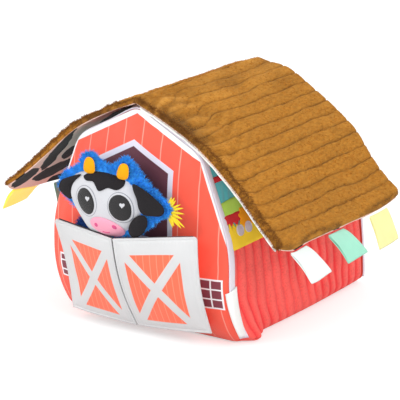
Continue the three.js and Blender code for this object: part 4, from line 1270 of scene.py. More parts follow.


# the hollows of the roof plush get painted shade, its crests painted highlight
brownPile = pileMaterial(
    "brownPile", (174, 116, 34), (58, 30, 8), sheen=0.22, fibres=520.0,
    brush=(1, 0.3, 1), variation=1.7, paintedShade=True,
)
brownFibre = pileMaterial("brownFibre", (184, 122, 40), (92, 54, 18), sheen=0.25, fibres=200.0, variation=1.0)
# a darker copy of the roof fibre for the front edge: painted shade on the hanging fibres
shadedEdgeFibre = pileMaterial("shadedEdgeFibre", (132, 82, 28), (92, 54, 18), sheen=0.25, fibres=200.0, variation=1.0)


cowPatches = {  # centre, half length and half width in mm out and back, and a turn in degrees
    "left": [
        (107, 23, 36, 12, 27), (147, 15, 15, 16, 40), (146, 62, 28, 12, 97), (122, 61, 13, 8, 60),
        (163, 86, 13, 6, 85), (70, 74, 26, 17, 35), (110, 112, 26, 18, -20), (34, 128, 22, 15, 10),
        (142, 150, 18, 26, 15), (78, 178, 28, 16, -30),
    ],
    "right": [
        (60, 22, 26, 13, 20), (118, 48, 30, 17, -25), (150, 100, 14, 26, 8), (52, 96, 24, 16, -40),
        (98, 150, 30, 18, 30), (34, 176, 20, 15, 0), (146, 188, 16, 20, 12), (156, 28, 9, 13, 0),
    ],
}


liningEdges = ((0.004, 0.996), (0.008, 0.99))  # shares of the roof, outwards and back
liningGrid = 110


def paintPatches(piece, side):
    steps = np.linspace(0, 1, liningGrid + 1)
    columns = np.tile(lerp(*liningEdges[0], steps), len(steps)) * roof["halfWidth"]
    rows = np.repeat(lerp(*liningEdges[1], steps), len(steps)) * roofLength
    cover = np.full(len(rows), -1.0)
    for out, back, length, width, turn in cowPatches[side]:
        angle = math.radians(turn)
        a = (columns - out) * math.cos(angle) + (rows - back) * math.sin(angle)
        b = (rows - back) * math.cos(angle) - (columns - out) * math.sin(angle)
        cover = np.maximum(cover, 1 - np.sqrt((a / length) ** 2 + (b / width) ** 2))
    storeShade(piece, "patch", cover)


def patchedLining():  # pale plush with dark patches of no set shape
    material, tree, shader = startMaterial("patchedLining", 0.9, 0.05)
    spot = placeIn(tree)
    cover = addNode(tree, "ShaderNodeAttribute", attribute_name="patch").outputs["Fac"]
    wavy = calc(tree, "SUBTRACT", noiseOf(tree, spot, 75.0, 2.0), 0.5)
    patch = above(tree, calc(tree, "MULTIPLY_ADD", wavy, 0.6, cover), 0.0, 0.025)
    pile = useGroup(tree, brushedPile, spot, 1100.0, 60.0)
    pale = shaded(tree, linear(246, 214, 200), pile.outputs["Shade"], 0.35)
    dark = shaded(tree, linear(16, 12, 13), pile.outputs["Shade"], 0.6)
    plug(tree, shader.inputs["Base Color"], paint(tree, patch, pale, dark))
    addRelief(tree, shader, pile.outputs["Height"], 0.6, 0.5)
    return material


def roofCloth(side, sign, across, down):
    # across: from the ridge out and round the eave; down: from the back to round the front edge
    # gives the place, the depth, and how much painted shade and painted highlight the cloth gets there
    crumple, fold, pressing, ridge = (wale[key] for key in ("crumple", "fold", "pressed", "ridge"))
    shift, soft, lump, dip = (wale[key] for key in ("creaseShift", "soft", "lumps", "dip"))
    halfTurn = math.pi - 1
    eaveRoll, edgeRoll = roof["eaveRoll"], roof["edgeRoll"]
    outLength = roof["halfWidth"] * roof["clothLength"]
    outInset, outDepth = edgeArc((1 - across) * (outLength + halfTurn * eaveRoll), eaveRoll)
    fromFront, frontDepth = edgeArc((1 - down) * (roofLength + halfTurn * edgeRoll), edgeRoll)
    out = 1 - outInset / outLength
    along = fromFront / roofLength
    cloth = np.column_stack([out * 190, fromFront])

    creased = np.clip(1.1 - out / wale["creasedTo"], 0, 1) * fade(out, 0.06)
    drift = sum(share * softNoise(cloth, size, seed + sign) for share, size, seed in wale["drifts"])
    bent = np.tanh((shift["middle"] - fromFront) / shift["soft"])
    drift = drift - shift["share"] * creased * bent * fade(shift["end"] - fromFront, shift["fade"])
    fromSeam = np.abs(np.mod(roof["wales"] * out + drift + 0.5, 1) - 0.5)
    groove = bump(fromSeam, 0, wale["grooveShare"])
    groove = groove + wale["roundShare"] * (1 - np.sin(math.pi * fromSeam) ** 0.6)
    softness = soft["level"] + soft["height"] * softNoise(cloth, soft["size"], soft["seed"] + sign)
    groove = groove * np.clip(softness, 0.3, 1.1)

    crumpled = np.clip(crumple["start"] - fromFront / crumple["length"], 0, 1)
    crumpled = crumpled * np.clip(crumple["out"] - crumple["outFall"] * out, 0, 1) * fade(out, 0.1)
    bend = fold["wave"] * np.sin(fromFront / fold["waveLength"] + 5 * out) + fold["slant"] * fromFront
    folds = np.sin((out * 200 + bend) * 2 * math.pi / fold["pitch"])
    folds = folds + fold["noise"] * softNoise(cloth, fold["size"], fold["seed"] + sign)
    pressed = np.clip(1 - np.abs(out - pressing["outMiddle"]) / pressing["outWidth"], 0, 1)
    pressed = pressed * bump(fromFront, pressing["middle"], pressing["width"])
    nearRidge = np.clip(1 - out / ridge["to"], 0, 1)
    lengthened = np.column_stack([out * 190 + 0.2 * fromFront, fromFront * 0.4])
    swells = softNoise(lengthened, ridge["size"], ridge["seed"] + sign)

    depth = roof["waleDepth"] * groove * (1 - 0.7 * crumpled) * (1 - 0.45 * nearRidge)
    depth = depth + crumpled * (crumple["level"] - crumple["height"] * folds)
    depth = depth - lump["height"] * softNoise(cloth, lump["size"], lump["seed"] + sign)
    depth = depth + nearRidge * (ridge["depth"] - ridge["swell"] * swells) + pressing["depth"] * pressed
    depth = depth + dip["depth"] * creased * bump(fromFront, dip["middle"], dip["width"])
    depth = np.clip(depth, wale["highest"], wale["deepest"])

    low = towardsEave(roof["plushEdges"], side, out)
    under = 2 * edgeRoll * low
    rolled = under - (under - frontDepth * low) * (2 * eaveRoll - outDepth) / (2 * eaveRoll)
    # painted shade in the wale grooves, between the crumpled folds, in the low places by the ridge and in the
    # pressed dent; painted highlight on the fold crests and ridge swells
    paintedShade = groove * (0.95 - 0.5 * crumpled) * (1 - 0.4 * nearRidge)
    paintedShade = paintedShade + 0.35 * crumpled * np.clip(-0.1 - folds, 0, 1) + 0.4 * nearRidge * np.clip(-swells, 0, 1)
    paintedShade = np.clip(paintedShade + 1.4 * pressed * (0.9 + 0.12 * softNoise(cloth, 9, 29 + sign)), 0, 1)
    paintedHighlight = np.clip(0.5 * crumpled * folds + 0.5 * nearRidge * swells + 0.12, 0, 1)
    return out, along, depth * np.clip(1 - rolled / 3, 0, 1) + rolled, paintedShade, paintedHighlight


def makeRoofHalf(side, sign):
    columns, rows = roof["wales"] * 13, 130

    def place(across, down):
        return roofPoint(sign, *roofCloth(side, sign, across, down)[:3])

    plush = bentGrid(side + "_plush_roof", columns, rows, place)
    across = np.tile(np.linspace(0, 1, columns + 1), rows + 1)
    down = np.repeat(np.linspace(0, 1, rows + 1), columns + 1)
    paintedShade, paintedHighlight = roofCloth(side, sign, across, down)[3:]
    # painted shade and painted highlight for the plush colour
    storeShade(plush, "paintedShade", 0.8 * paintedShade)
    storeShade(plush, "paintedHighlight", paintedHighlight)
    cutCloth(plush, "laid", "fibre_stuffing")
    thicken(plush, roof["plushThickness"], offset=0)
    dress(plush, side + "_roof", brownPile, "brown_plush", side + "_roof_plush")

    def placeLining(across, down):
        out, along = lerp(*liningEdges[0], across), lerp(*liningEdges[1], down)
        nearFront = np.clip(1 - along * roofLength / 9, 0, 1)
        nearEave = np.clip(1 - (1 - out) * roof["halfWidth"] * roof["clothLength"] / 8, 0, 1)
        droop = 0.5 * softNoise(np.column_stack([out * 200, along * roofLength]), 40, 41 + sign)
        depth = roof["underside"] * towardsEave(roof["linings"], side, out)
        depth = depth + 0.8 * np.maximum(nearFront, nearEave * 0.6) + np.clip(droop, -0.3, 1)
        return roofPoint(sign, out, along, depth)

    lining = bentGrid(side + "_patched_lining", liningGrid, liningGrid, placeLining)
    paintPatches(lining, side)
    cutCloth(lining, "stretched", side + "_plush_roof")
    thicken(lining, roof["liningThickness"], offset=0)
    dress(lining, side + "_roof", liningCloth, "patched_lining", side + "_roof_lining")

    film = roof["film"]

    def placeFilm(across, down):
        out, along = (lerp(film["margin"], 1 - film["margin"], share) for share in (across, down))
        return roofPoint(sign, out, along, film["depth"])

    sheet = bentGrid(side + "_crackle_sheet", 40, 50, placeFilm)
    cutCloth(sheet, "laid", side + "_patched_lining")
    thicken(sheet, film["thickness"], offset=0)
    dress(sheet, side + "_roof", crackleFilm, "crackle_film", side + "_roof_film")
    return plush


def makePiping():  # a rolled satin edge along the front of the right lining
    piping = roof["piping"]

    def place(turned, outwards):
        out = lerp(0.03, 0.985, outwards)
        angle = turned * 2 * math.pi
        along = (piping["inset"] + piping["wide"] * np.cos(angle)) / roofLength
        wander = piping["wander"] * softNoise(out[:, None] * 200, 18, 45)
        depth = roof["underside"] * roof["linings"]["right"][0] + piping["below"] + wander
        return roofPoint(1, out, along, depth + piping["tall"] * np.sin(angle))

    piece = bentGrid("right_lining_edge", 10, 160, place)
    turnOutwards(piece)
    dress(piece, "right_roof", whiteSatin, "white_satin")


def scatterOn(piece, count, seed, keep):  # random places on a piece, with their normals
    mesh = piece.data
    mesh.calc_loop_triangles()
    points = readPoints(piece)
    triangles = np.array([tri.vertices[:] for tri in mesh.loop_triangles])
    a, b, c = (points[triangles[:, k]] for k in range(3))
    normals = np.cross(b - a, c - a)
    areas = np.linalg.norm(normals, axis=1)
    normals = normals / np.maximum(areas, 1e-12)[:, None]
    chosen = keep(((a + b + c) / 3) / mm, normals)
    source = np.random.default_rng(seed)
    weights = areas * chosen
    picked = source.choice(len(triangles), count, p=weights / weights.sum())
    r, s = np.sqrt(source.uniform(size=count)), source.uniform(size=count)
    spots = (1 - r)[:, None] * a[picked] + (r * (1 - s))[:, None] * b[picked] + (r * s)[:, None] * c[picked]
    return spots / mm, normals[picked], source


def makeBlades(name, roots, directions, lengths, width, bend, source):
    # thin bent blades of pile, each a four-sided face and a pointed one
    count = len(roots)
    directions = directions / np.linalg.norm(directions, axis=1)[:, None]
    beside = np.cross(directions, source.normal(size=(count, 3)))
    beside /= np.linalg.norm(beside, axis=1)[:, None]
    sway = np.cross(directions, beside) * (lengths * source.uniform(-bend, bend, count))[:, None]
    half = beside * width / 2
    middle = roots + directions * (lengths * 0.55)[:, None] + sway * 0.3
    tip = roots + directions * lengths[:, None] + sway
    stack = np.stack([roots - half, roots + half, middle - half * 0.8, middle + half * 0.8, tip], axis=1)
    base = np.arange(count)[:, None] * 5
    quads = (base + np.array([0, 1, 3, 2])).tolist()
    tips = (base + np.array([2, 3, 4])).tolist()
    return meshPiece(name, stack.reshape(-1, 3), quads + tips)


loosePile = {
    "pull": (0.62, -0.28, -0.5),  # outwards, back and up
    "stand": 0.35,
    "loose": 0.25,
    "topFrom": 0.2,  # how far up a face must look to carry it
    "lengths": (1.4, 3.2),
    "width": 0.3,
    "bend": 0.3,
}
edgePile = {
    "pull": (0.25, -0.15, -0.4),
    "stand": 0.7,
    "loose": 0.5,
    "within": 6,  # of the front edge
    "backTo": 0.55,
    "downTo": -0.35,
    "shortest": 1.6,
    "longest": {"right": 4.6, "left": 3.4},
    "width": 0.36,
    "bend": 0.4,
}


def makeRoofPile(side, sign, plush):
    def onTop(centres, normals):
        return normals[:, 2] > loosePile["topFrom"]

    def atEdge(centres, normals):
        near = centres[:, 1] < roof["frontY"] + edgePile["within"]
        return (near & (normals[:, 1] < edgePile["backTo"]) & (normals[:, 2] > edgePile["downTo"])) * 1.0

    outwards = np.array([sign, 1, 1])
    spots, normals, source = scatterOn(plush, roof["pileBlades"], 51 + sign, onTop)
    lean = normals * loosePile["stand"] + outwards * loosePile["pull"]
    lean = lean + source.normal(size=normals.shape) * loosePile["loose"]
    lengths = source.uniform(*loosePile["lengths"], len(spots))
    name = side + "_roof_pile"
    pile = makeBlades(name, spots, lean, lengths, loosePile["width"], loosePile["bend"], source)
    dress(pile, side + "_roof", brownFibre, "brown_plush")

    spots, normals, source = scatterOn(plush, roof["edgeBlades"], 61 + sign, atEdge)
    lean = normals * edgePile["stand"] + source.normal(size=normals.shape) * edgePile["loose"]
    lean = lean + outwards * edgePile["pull"]
    lengths = source.uniform(edgePile["shortest"], edgePile["longest"][side], len(spots))
    name = side + "_roof_edge_pile"
    fringe = makeBlades(name, spots, lean, lengths, edgePile["width"], edgePile["bend"], source)
    dress(fringe, side + "_roof", shadedEdgeFibre, "brown_plush")


liningCloth = patchedLining()
crackleFilm = clothMaterial("crackleFilm", (222, 226, 230), roughness=0.25, threads=300.0)
for side, sign in (("right", 1), ("left", -1)):
    half = makeRoofHalf(side, sign)
    if side == "right":
        makePiping()
    makeRoofPile(side, sign, half)


ridgeTube = {
    "open": 0.65, "radius": 3.4, "wander": 0.5, "below": 4.2, "flat": 0.8, "margin": 0.01, "blades": 900,
}


def makeRidge():  # the plush between the two halves, on the barn itself
    def place(turned, share):
        along = lerp(ridgeTube["margin"], 1 - ridgeTube["margin"], share)
        angle = lerp(-ridgeTube["open"], ridgeTube["open"], turned) * math.pi
        top = roofPoint(1, np.zeros(len(along)), along, 0.6)
        radius = ridgeTube["radius"] + ridgeTube["wander"] * softNoise(along[:, None] * roofLength, 25, 71)
        z = top[:, 2] - ridgeTube["below"] + (radius - ridgeTube["flat"]) * np.cos(angle)
        return np.column_stack([radius * np.sin(angle), top[:, 1], z])

    piece = bentGrid("plush_ridge", 16, 120, place)
    thicken(piece, 1.0, offset=0)
    dress(piece, "barn", brownPile, "brown_plush")
    count = ridgeTube["blades"]
    spots, normals, source = scatterOn(piece, count, 75, lambda c, n: (n[:, 2] > 0) * 1.0)
    lean = normals + source.normal(size=normals.shape) * 0.4
    pile = makeBlades("ridge_pile", spots, lean, source.uniform(1.4, 3.0, count), 0.34, 0.3, source)
    dress(pile, "barn", brownFibre, "brown_plush")


makeRidge()
print("roof ready")


# Ribbon tabs

ribbons = {
    "front": {"place": 0.13, "width": 25, "reach": 19, "drop": 28, "sweep": 8, "turn": 5, "rise": 5},
    "middle": {"place": 0.44, "width": 27, "reach": 19, "drop": 26, "sweep": 7, "turn": 5, "rise": 5},
    "rear": {"place": 0.815, "width": 33, "reach": 8, "drop": 34, "sweep": 8, "turn": 2, "rise": 2},
}
leftRibbons = dict(  # the rear one is like the right side's
    ribbons,
    front={"place": 0.2, "width": 41, "reach": 15, "drop": 23, "sweep": 0, "turn": 2, "rise": 5, "lift": 2.8},
    middle={"place": 0.47, "width": 27, "reach": -2, "drop": 27, "sweep": 5, "turn": 1, "rise": 1},
)
mintSatin = satinMaterial("mintSatin", (156, 222, 196))
yellowSatin = satinMaterial("yellowSatin", (248, 242, 164))
goldSatin = satinMaterial("goldSatin", (255, 226, 84))
goldShader = goldSatin.node_tree.nodes["Principled BSDF"]  # light shines through the thin ribbon
goldShader.inputs["Subsurface Weight"].default_value = 0.7
goldShader.inputs["Subsurface Scale"].default_value = 0.004
goldShader.inputs["Subsurface Radius"].default_value = (1.0, 0.9, 0.5)
# a faint glow painted into the ribbon brightens its shaded side
goldShader.inputs["Emission Color"].default_value = linear(255, 222, 70)
goldShader.inputs["Emission Strength"].default_value = 0.3
tabWhite = satinMaterial("tabWhite", (232, 240, 236))
white, mint = (tabWhite, "white_satin"), (mintSatin, "mint_satin")
tabFinish = {
    "right": {"front": white, "middle": mint, "rear": (yellowSatin, "yellow_satin")},
    "left": {"front": (goldSatin, "gold_satin"), "middle": mint, "rear": white},
}


ribbonCloth = {
    "columns": 26, "rows": 70, "depth": 6.2, "start": 0.4, "curl": 3, "twist": 0.7, "thickness": 0.35,
}
ribbonGap = {"fold": 1.3, "middle": 1.6, "turnShare": 0.06}  # between a loop's two layers


def makeRibbon(side, sign, place):
    tab = (ribbons if sign > 0 else leftRibbons)[place]
    columns, rows = ribbonCloth["columns"], ribbonCloth["rows"]

    def loop(across, run):  # down one layer, round the fold and up the other
        down = np.abs(1 - 2 * run)
        down = 1.02 - np.sqrt(down**2 + 0.02**2)
        belly = np.sin(math.pi * np.clip(down, 0, 1))
        under = fade(run - (0.5 - ribbonGap["turnShare"] / 2), ribbonGap["turnShare"])
        gap = under * (ribbonGap["fold"] + ribbonGap["middle"] * belly)
        twist = ribbonCloth["twist"] * np.sin(2.5 * math.pi * down) * (across - 0.5)
        curl = ribbonCloth["curl"] * belly + twist
        along = tab["place"] + tab["width"] * (across - 0.5) / roofLength
        eave = roofPoint(sign, np.ones(len(down)), along, ribbonCloth["depth"])
        x = eave[:, 0] + sign * (ribbonCloth["start"] + (tab["reach"] + tab["turn"] * across) * down)
        z = eave[:, 2] + tab.get("lift", 0) + (tab["rise"] * across - tab["drop"]) * down + curl - gap
        return np.column_stack([x, eave[:, 1] + tab["sweep"] * down, z])

    piece = bentGrid(f"{side}_{place}_satin_tab", columns, rows, loop)
    threads = readPoints(piece).reshape(rows + 1, columns + 1, 3)
    thicken(piece, ribbonCloth["thickness"], offset=0)
    material, slot = tabFinish[side][place]
    dress(piece, side + "_roof", material, slot, f"{side}_{place}_ribbon")


for side, sign in (("right", 1), ("left", -1)):
    for place in ribbons:
        makeRibbon(side, sign, place)
print("ribbons ready")


# Cow

cow = {
    "x": -18,
    "furShift": 4,
    "middleY": -174,
    "halfWidth": 42,
    "bottom": 103.2,
    "top": 165,
    "frontDepth": 12,
    "face": [
        (-0.1, 1), (0.5, 0.97), (0.88, 0.84), (1.08, 0.52), (0.9, 0.3), (0.64, 0.13), (0.38, 0.03),
        (0, 0), (-0.38, 0.05), (-0.62, 0.22), (-0.86, 0.45), (-0.99, 0.66), (-0.82, 0.86), (-0.5, 0.97),
    ],
    "fur": [
        (0.14, 1.12), (0.34, 1.2), (0.56, 1.3), (0.8, 1.2), (1.1, 0.98), (1.44, 0.8), (1.76, 0.62),
        (1.66, 0.5), (1.36, 0.38), (1.08, 0.22), (0.84, 0.13), (0.34, 0.05), (-0.26, 0.05), (-0.62, 0.2),
        (-0.96, 0.42), (-1.32, 0.65), (-1.16, 0.88), (-0.74, 1.06), (-0.66, 1.2), (-0.42, 1.28), (-0.16, 1.2),
    ],
    "forehead": [
        (-37.4, 159.4), (-29.1, 164.0), (-18, 165.4), (-8.8, 165.1), (8.5, 161.5), (9.6, 157.2), (4.6, 152.9),
        (-5.6, 153.7), (-10.5, 151.2), (-15.1, 149.6), (-19.8, 153.9), (-24.5, 157.0), (-32.5, 156.6),
    ],
    "rightEar": [
        (19.5, 160.5), (33, 156.8), (46.1, 149.8), (54.8, 143.2), (55.2, 138.2), (51.3, 134.4),
        (40.7, 132.6), (31.5, 132.4), (26.5, 137), (24, 146.5), (20, 154.8),
    ],
    "leftEar": [
        (-40, 160.5), (-54, 156), (-65, 150), (-67, 142), (-61, 136.5), (-52.6, 134),
        (-50.5, 141.5), (-50.5, 147), (-46, 154.5),
    ],
    "earY": -178.2,
    "hornY": -177.2,
    "foreheadThickness": 1.0,
    "eye": {"apart": 38, "shift": 7.4, "heightShare": 0.545, "lower": 0.6, "tall": 12.9, "glint": 2.6},
    "eyeWidth": {"left": 9.9, "right": 10.8},
    "eyeTilt": {"left": 0.42, "right": 0.32},
    "eyeRing": (12.7, 15.2),
    "eyeWhite": (12.1, 14.6),
    "muzzle": {"shift": 9.6, "heightShare": 0.18, "wide": 17.2, "tall": 9.9, "tilt": -0.2, "thickness": 2.6},
    "nostril": {"apart": 9.4, "shift": 1.0, "up": 2.3, "wide": 2.1, "tall": 2.4, "tilt": 0.3, "lift": 3.05},
    "smile": {"shift": 0.6, "below": 1.6, "wide": 5.2, "deep": 3.2, "turn": 0.95, "lift": 3.35},
    "horn": {
        "apart": 39, "shift": 6, "base": 167.764, "half": 6.8, "up": 10.0, "down": 5.0,
        "square": 0.8, "stretch": 1.08,
    },
    "hornLean": {"left": 0.05, "right": 0.2},
    "chest": {"x": -38, "z": 104, "wide": 17, "tall": 11, "front": -166, "back": -164},
    "hooves": {  # x, y, z, half width, half height, tilt
        "right": (25.6, -178.4, 120.2, 8.2, 14.0, -0.72),
        "left": (-51.7, -163.0, 92.0, 8.2, 12.4, 0.0),
    },
    "furFront": -173.9,
    "furBack": -173.7,
    "furDepth": 7,
    "furMiddle": (-10.0, 138.0),
    "furBlades": 9000,
    "bodyBlades": 1600,
    "bodyFurFrom": 78,
    "chestBlades": 1500,
}


def cowLoop(shares, count, shift=0.0):
    height = cow["top"] - cow["bottom"]
    knots = [(cow["x"] + shift + a * cow["halfWidth"], cow["bottom"] + u * height) for a, u in shares]
    return evenly(smoothLine(knots, closed=True), count, closed=True)


faceLoop = cowLoop(cow["face"], 96)
cowCentre = np.array([cow["x"], (cow["bottom"] + cow["top"]) / 2])
fromCentre = faceLoop[::-1] - cowCentre  # the loop runs clockwise, and angles are wanted rising
faceAngle = np.unwrap(np.arctan2(fromCentre[:, 1], fromCentre[:, 0]))
faceReach = np.hypot(fromCentre[:, 0], fromCentre[:, 1])


def faceShare(x, z):  # 0 at the middle of the face, 1 at its seam
    angle = faceAngle[0] + np.mod(np.arctan2(z - cowCentre[1], x - cowCentre[0]) - faceAngle[0], 2 * math.pi)
    angles = np.append(faceAngle, faceAngle[0] + 2 * math.pi)
    edge = np.interp(angle, angles, np.append(faceReach, faceReach[0]))
    return np.minimum(1, np.hypot(x - cowCentre[0], z - cowCentre[1]) / edge)


def faceY(x, z):
    return cow["middleY"] - cow["frontDepth"] * (1 - faceShare(x, z) ** 3)


whitePile = pileMaterial("whitePile", (203, 204, 209), (200, 204, 214), fibres=1100.0, variation=0.22)
blackPile = pileMaterial("blackPile", (26, 23, 26), (12, 10, 12), sheen=0.1, fibres=1000.0, variation=0.8)
blueFur = pileMaterial("blueFur", (50, 152, 238), (8, 50, 110), sheen=0.45, fibres=260.0, variation=1.6)
# a darker copy of the blue fur: painted shade for the fur deep in the pocket
shadedBlueFur = pileMaterial("shadedBlueFur", (26, 70, 140), (8, 30, 70), sheen=0.3, fibres=260.0, variation=1.1)
hornFelt = feltMaterial("hornFelt", (240, 162, 8))
pinkFelt = feltMaterial("pinkFelt", (240, 162, 184), 0.2)
rosePink = feltMaterial("rosePink", (216, 86, 136))
strawFelt = feltMaterial("strawFelt", (240, 208, 44))
ringThread = clothMaterial("ringThread", (140, 142, 152), roughness=0.6, threads=2600.0, variation=0.2)
blackThread = clothMaterial("blackThread", (17, 15, 18), roughness=0.6, threads=2600.0, variation=0.4)


def facePatch(name, loop, thickness, material, slot, *nodes, lift=0.7, rings=10):
    def front(x, z, share):
        return faceY(x, z) - lift - thickness * np.sqrt(np.clip(1 - share**5, 0, 1))

    def back(x, z, share):
        return faceY(x, z) - lift + 0.25

    piece = pressedBall(name, loop, loop.mean(axis=0), front, back, rings)
    return dress(piece, "cow", material, slot, *nodes)


def oval(x, z, radiusX, radiusZ, count=48, tilt=0.0):
    angle = np.linspace(0, 2 * math.pi, count, endpoint=False)
    flat = np.column_stack([radiusX * np.cos(angle), radiusZ * np.sin(angle)])
    turn = np.array([[math.cos(tilt), math.sin(tilt)], [-math.sin(tilt), math.cos(tilt)]])
    return flat @ turn + [x, z]


def heart(x, z, size):
    t = np.linspace(0, 2 * math.pi, 24, endpoint=False)
    across = np.sin(t) ** 3
    tall = (13 * np.cos(t) - 5 * np.cos(2 * t) - 2 * np.cos(3 * t) - np.cos(4 * t)) / 15
    return np.column_stack([x + size * across, z + size * tall])


def flatPad(name, loop, y, thickness, material, slot, *nodes, rings=10, seed=1):
    def half(side):
        def at(x, z, share):
            lumps = 0.35 * softNoise(np.column_stack([x, z]), 14, seed) * (1 - share**4)
            return y + side * (thickness / 2) * (1 - share**2.6) + lumps * side
        return at

    piece = pressedBall(name, loop, loop.mean(axis=0), half(-1), half(1), rings)
    return dress(piece, "cow", material, slot, *nodes)


def makeCowHead():
    def front(x, z, share):
        lumps = 0.4 * softNoise(np.column_stack([x, z]), 26, 81) * (1 - share**3)
        return cow["middleY"] - cow["frontDepth"] * (1 - share**3) - lumps

    def back(x, z, share):
        return cow["middleY"] - 0.3 * (1 - share)

    head = pressedBall("cow_plush_head", faceLoop, cowCentre, front, back, 26)
    dress(head, "cow", whitePile, "cow_white", "cow_head")


def makeCowEyes():
    eye = cow["eye"]
    for side, sign in (("left", -1), ("right", 1)):
        x = cow["x"] + eye["shift"] + sign * eye["apart"] / 2
        z = cow["bottom"] + eye["heightShare"] * (cow["top"] - cow["bottom"]) - eye["lower"] * sign
        tilt = cow["eyeTilt"][side]
        ring, white = (oval(x, z, *cow[key], tilt=tilt) for key in ("eyeRing", "eyeWhite"))
        loop = oval(x, z, cow["eyeWidth"][side], eye["tall"], tilt=tilt)
        glint = heart(x + 3.0, z + 3.3, eye["glint"])
        facePatch(f"cow_{side}_eye_ring", ring, 0.2, ringThread, "cow_white", lift=0.2)
        facePatch(f"cow_{side}_eye_white", white, 0.25, whitePile, "cow_white", lift=0.3)
        facePatch(f"cow_{side}_eye_patch", loop, 0.9, blackThread, "cow_black", f"cow_{side}_eye")
        facePatch(f"cow_{side}_eye_glint", glint, 0.4, whitePile, "cow_white", lift=1.7, rings=4)


def makeCowMuzzle():
    muzzle, nostril, smile = cow["muzzle"], cow["nostril"], cow["smile"]
    x = cow["x"] + muzzle["shift"]
    z = cow["bottom"] + muzzle["heightShare"] * (cow["top"] - cow["bottom"])
    loop = oval(x, z, muzzle["wide"], muzzle["tall"], tilt=muzzle["tilt"])
    facePatch("cow_pink_muzzle", loop, muzzle["thickness"], pinkFelt, "muzzle_pink", "cow_muzzle", rings=14)
    for side, sign in (("left", -1), ("right", 1)):
        place = x + nostril["shift"] + sign * nostril["apart"], z + nostril["up"]
        loop = oval(*place, nostril["wide"], nostril["tall"], 20, tilt=nostril["tilt"] * sign)
        facePatch(f"cow_{side}_nostril", loop, 0.4, rosePink, "muzzle_pink", lift=nostril["lift"], rings=4)
    turn = np.linspace(-smile["turn"], smile["turn"], 24)
    smileX = x + smile["shift"] + smile["wide"] * np.sin(turn)
    smileZ = z - smile["below"] - smile["deep"] * np.cos(turn)
    points = np.column_stack([smileX, faceY(smileX, smileZ) - smile["lift"], smileZ])
    forward = np.tile([0.0, -1.0, 0.0], (len(turn), 1))
    makeStitches("cow_smile_stitches", "cow", "muzzle_pink", rosePink, [(points, forward)], 1.3, 1.5, 0.6)


def makeCowForehead():
    patch = evenly(smoothLine(cow["forehead"], closed=True), 60, closed=True)
    thickness = cow["foreheadThickness"]
    facePatch("cow_forehead_spot", patch, thickness, blackPile, "cow_black", "cow_forehead_patch")


def makeCowEars():
    horn = cow["horn"]
    angle = np.linspace(0, 2 * math.pi, 48, endpoint=False)

    def squared(wave):
        return np.sign(wave) * np.abs(wave) ** horn["square"]

    for side, sign in (("left", -1), ("right", 1)):
        loop = evenly(smoothLine(cow[side + "Ear"], closed=True), 48, closed=True)
        black = blackPile, "cow_black"
        flatPad(f"cow_{side}_plush_ear", loop, cow["earY"], 4.6, *black, f"cow_{side}_ear", seed=5 + sign)
        tall = np.where(np.sin(angle) > 0, horn["up"], horn["down"]) * squared(np.sin(angle)) * horn["stretch"]
        wide = horn["half"] * squared(np.cos(angle)) * (1 - 0.006 * tall)
        x = cow["x"] + horn["shift"] + sign * horn["apart"] / 2 + wide + cow["hornLean"][side] * tall
        loop = np.column_stack([x, horn["base"] + tall])
        yellow = hornFelt, "horn_yellow"
        flatPad(f"cow_{side}_felt_horn", loop, cow["hornY"], 5.0, *yellow, f"cow_{side}_horn", seed=8 + sign)


def growFur(piece, name, count, seed, material, chosen, lean, sizes, width, bend):
    spots, normals, source = scatterOn(piece, count, seed, chosen)
    directions = lean(spots, normals, source)
    tufts = makeBlades(name, spots, directions, source.uniform(*sizes, count), width, bend, source)
    return dress(tufts, "cow", material, "blue_fur")


def makeCowFurBack():
    middle = np.array(cow["furMiddle"])
    backing = pressedBall(
        "cow_fur_backing",
        cowLoop(cow["fur"], 96, shift=cow["furShift"]),
        cowCentre,
        lambda x, z, share: np.full(len(x), cow["furFront"]),
        lambda x, z, share: cow["furBack"] + cow["furDepth"] * (1 - share**3),
        14,
    )
    dress(backing, "cow", blueFur, "blue_fur", "cow_fur_back")

    def outside(centres, normals):  # only past the white face, and more of it further out
        reach = np.hypot(centres[:, 0] - middle[0], centres[:, 2] - middle[1])
        return (faceShare(centres[:, 0], centres[:, 2]) > 0.985) * np.clip(reach / 40, 0.2, 2)

    def lean(spots, normals, source):
        away = np.column_stack([spots[:, 0] - middle[0], np.zeros(len(spots)), spots[:, 2] - middle[1]])
        away /= np.linalg.norm(away, axis=1)[:, None]
        tufted = softNoise(spots[:, [0, 2]], 11, 92)[:, None] * np.array([[0.5, 0.2, 0.3]])
        lean = away * 0.75 + normals * 0.35 + np.array([0.0, -0.1, 0.1]) + 0.8 * tufted
        return lean + source.normal(size=spots.shape) * 0.3

    growFur(backing, "cow_blue_fur", cow["furBlades"], 91, blueFur, outside, lean, (2.2, 5.2), 0.6, 0.6)


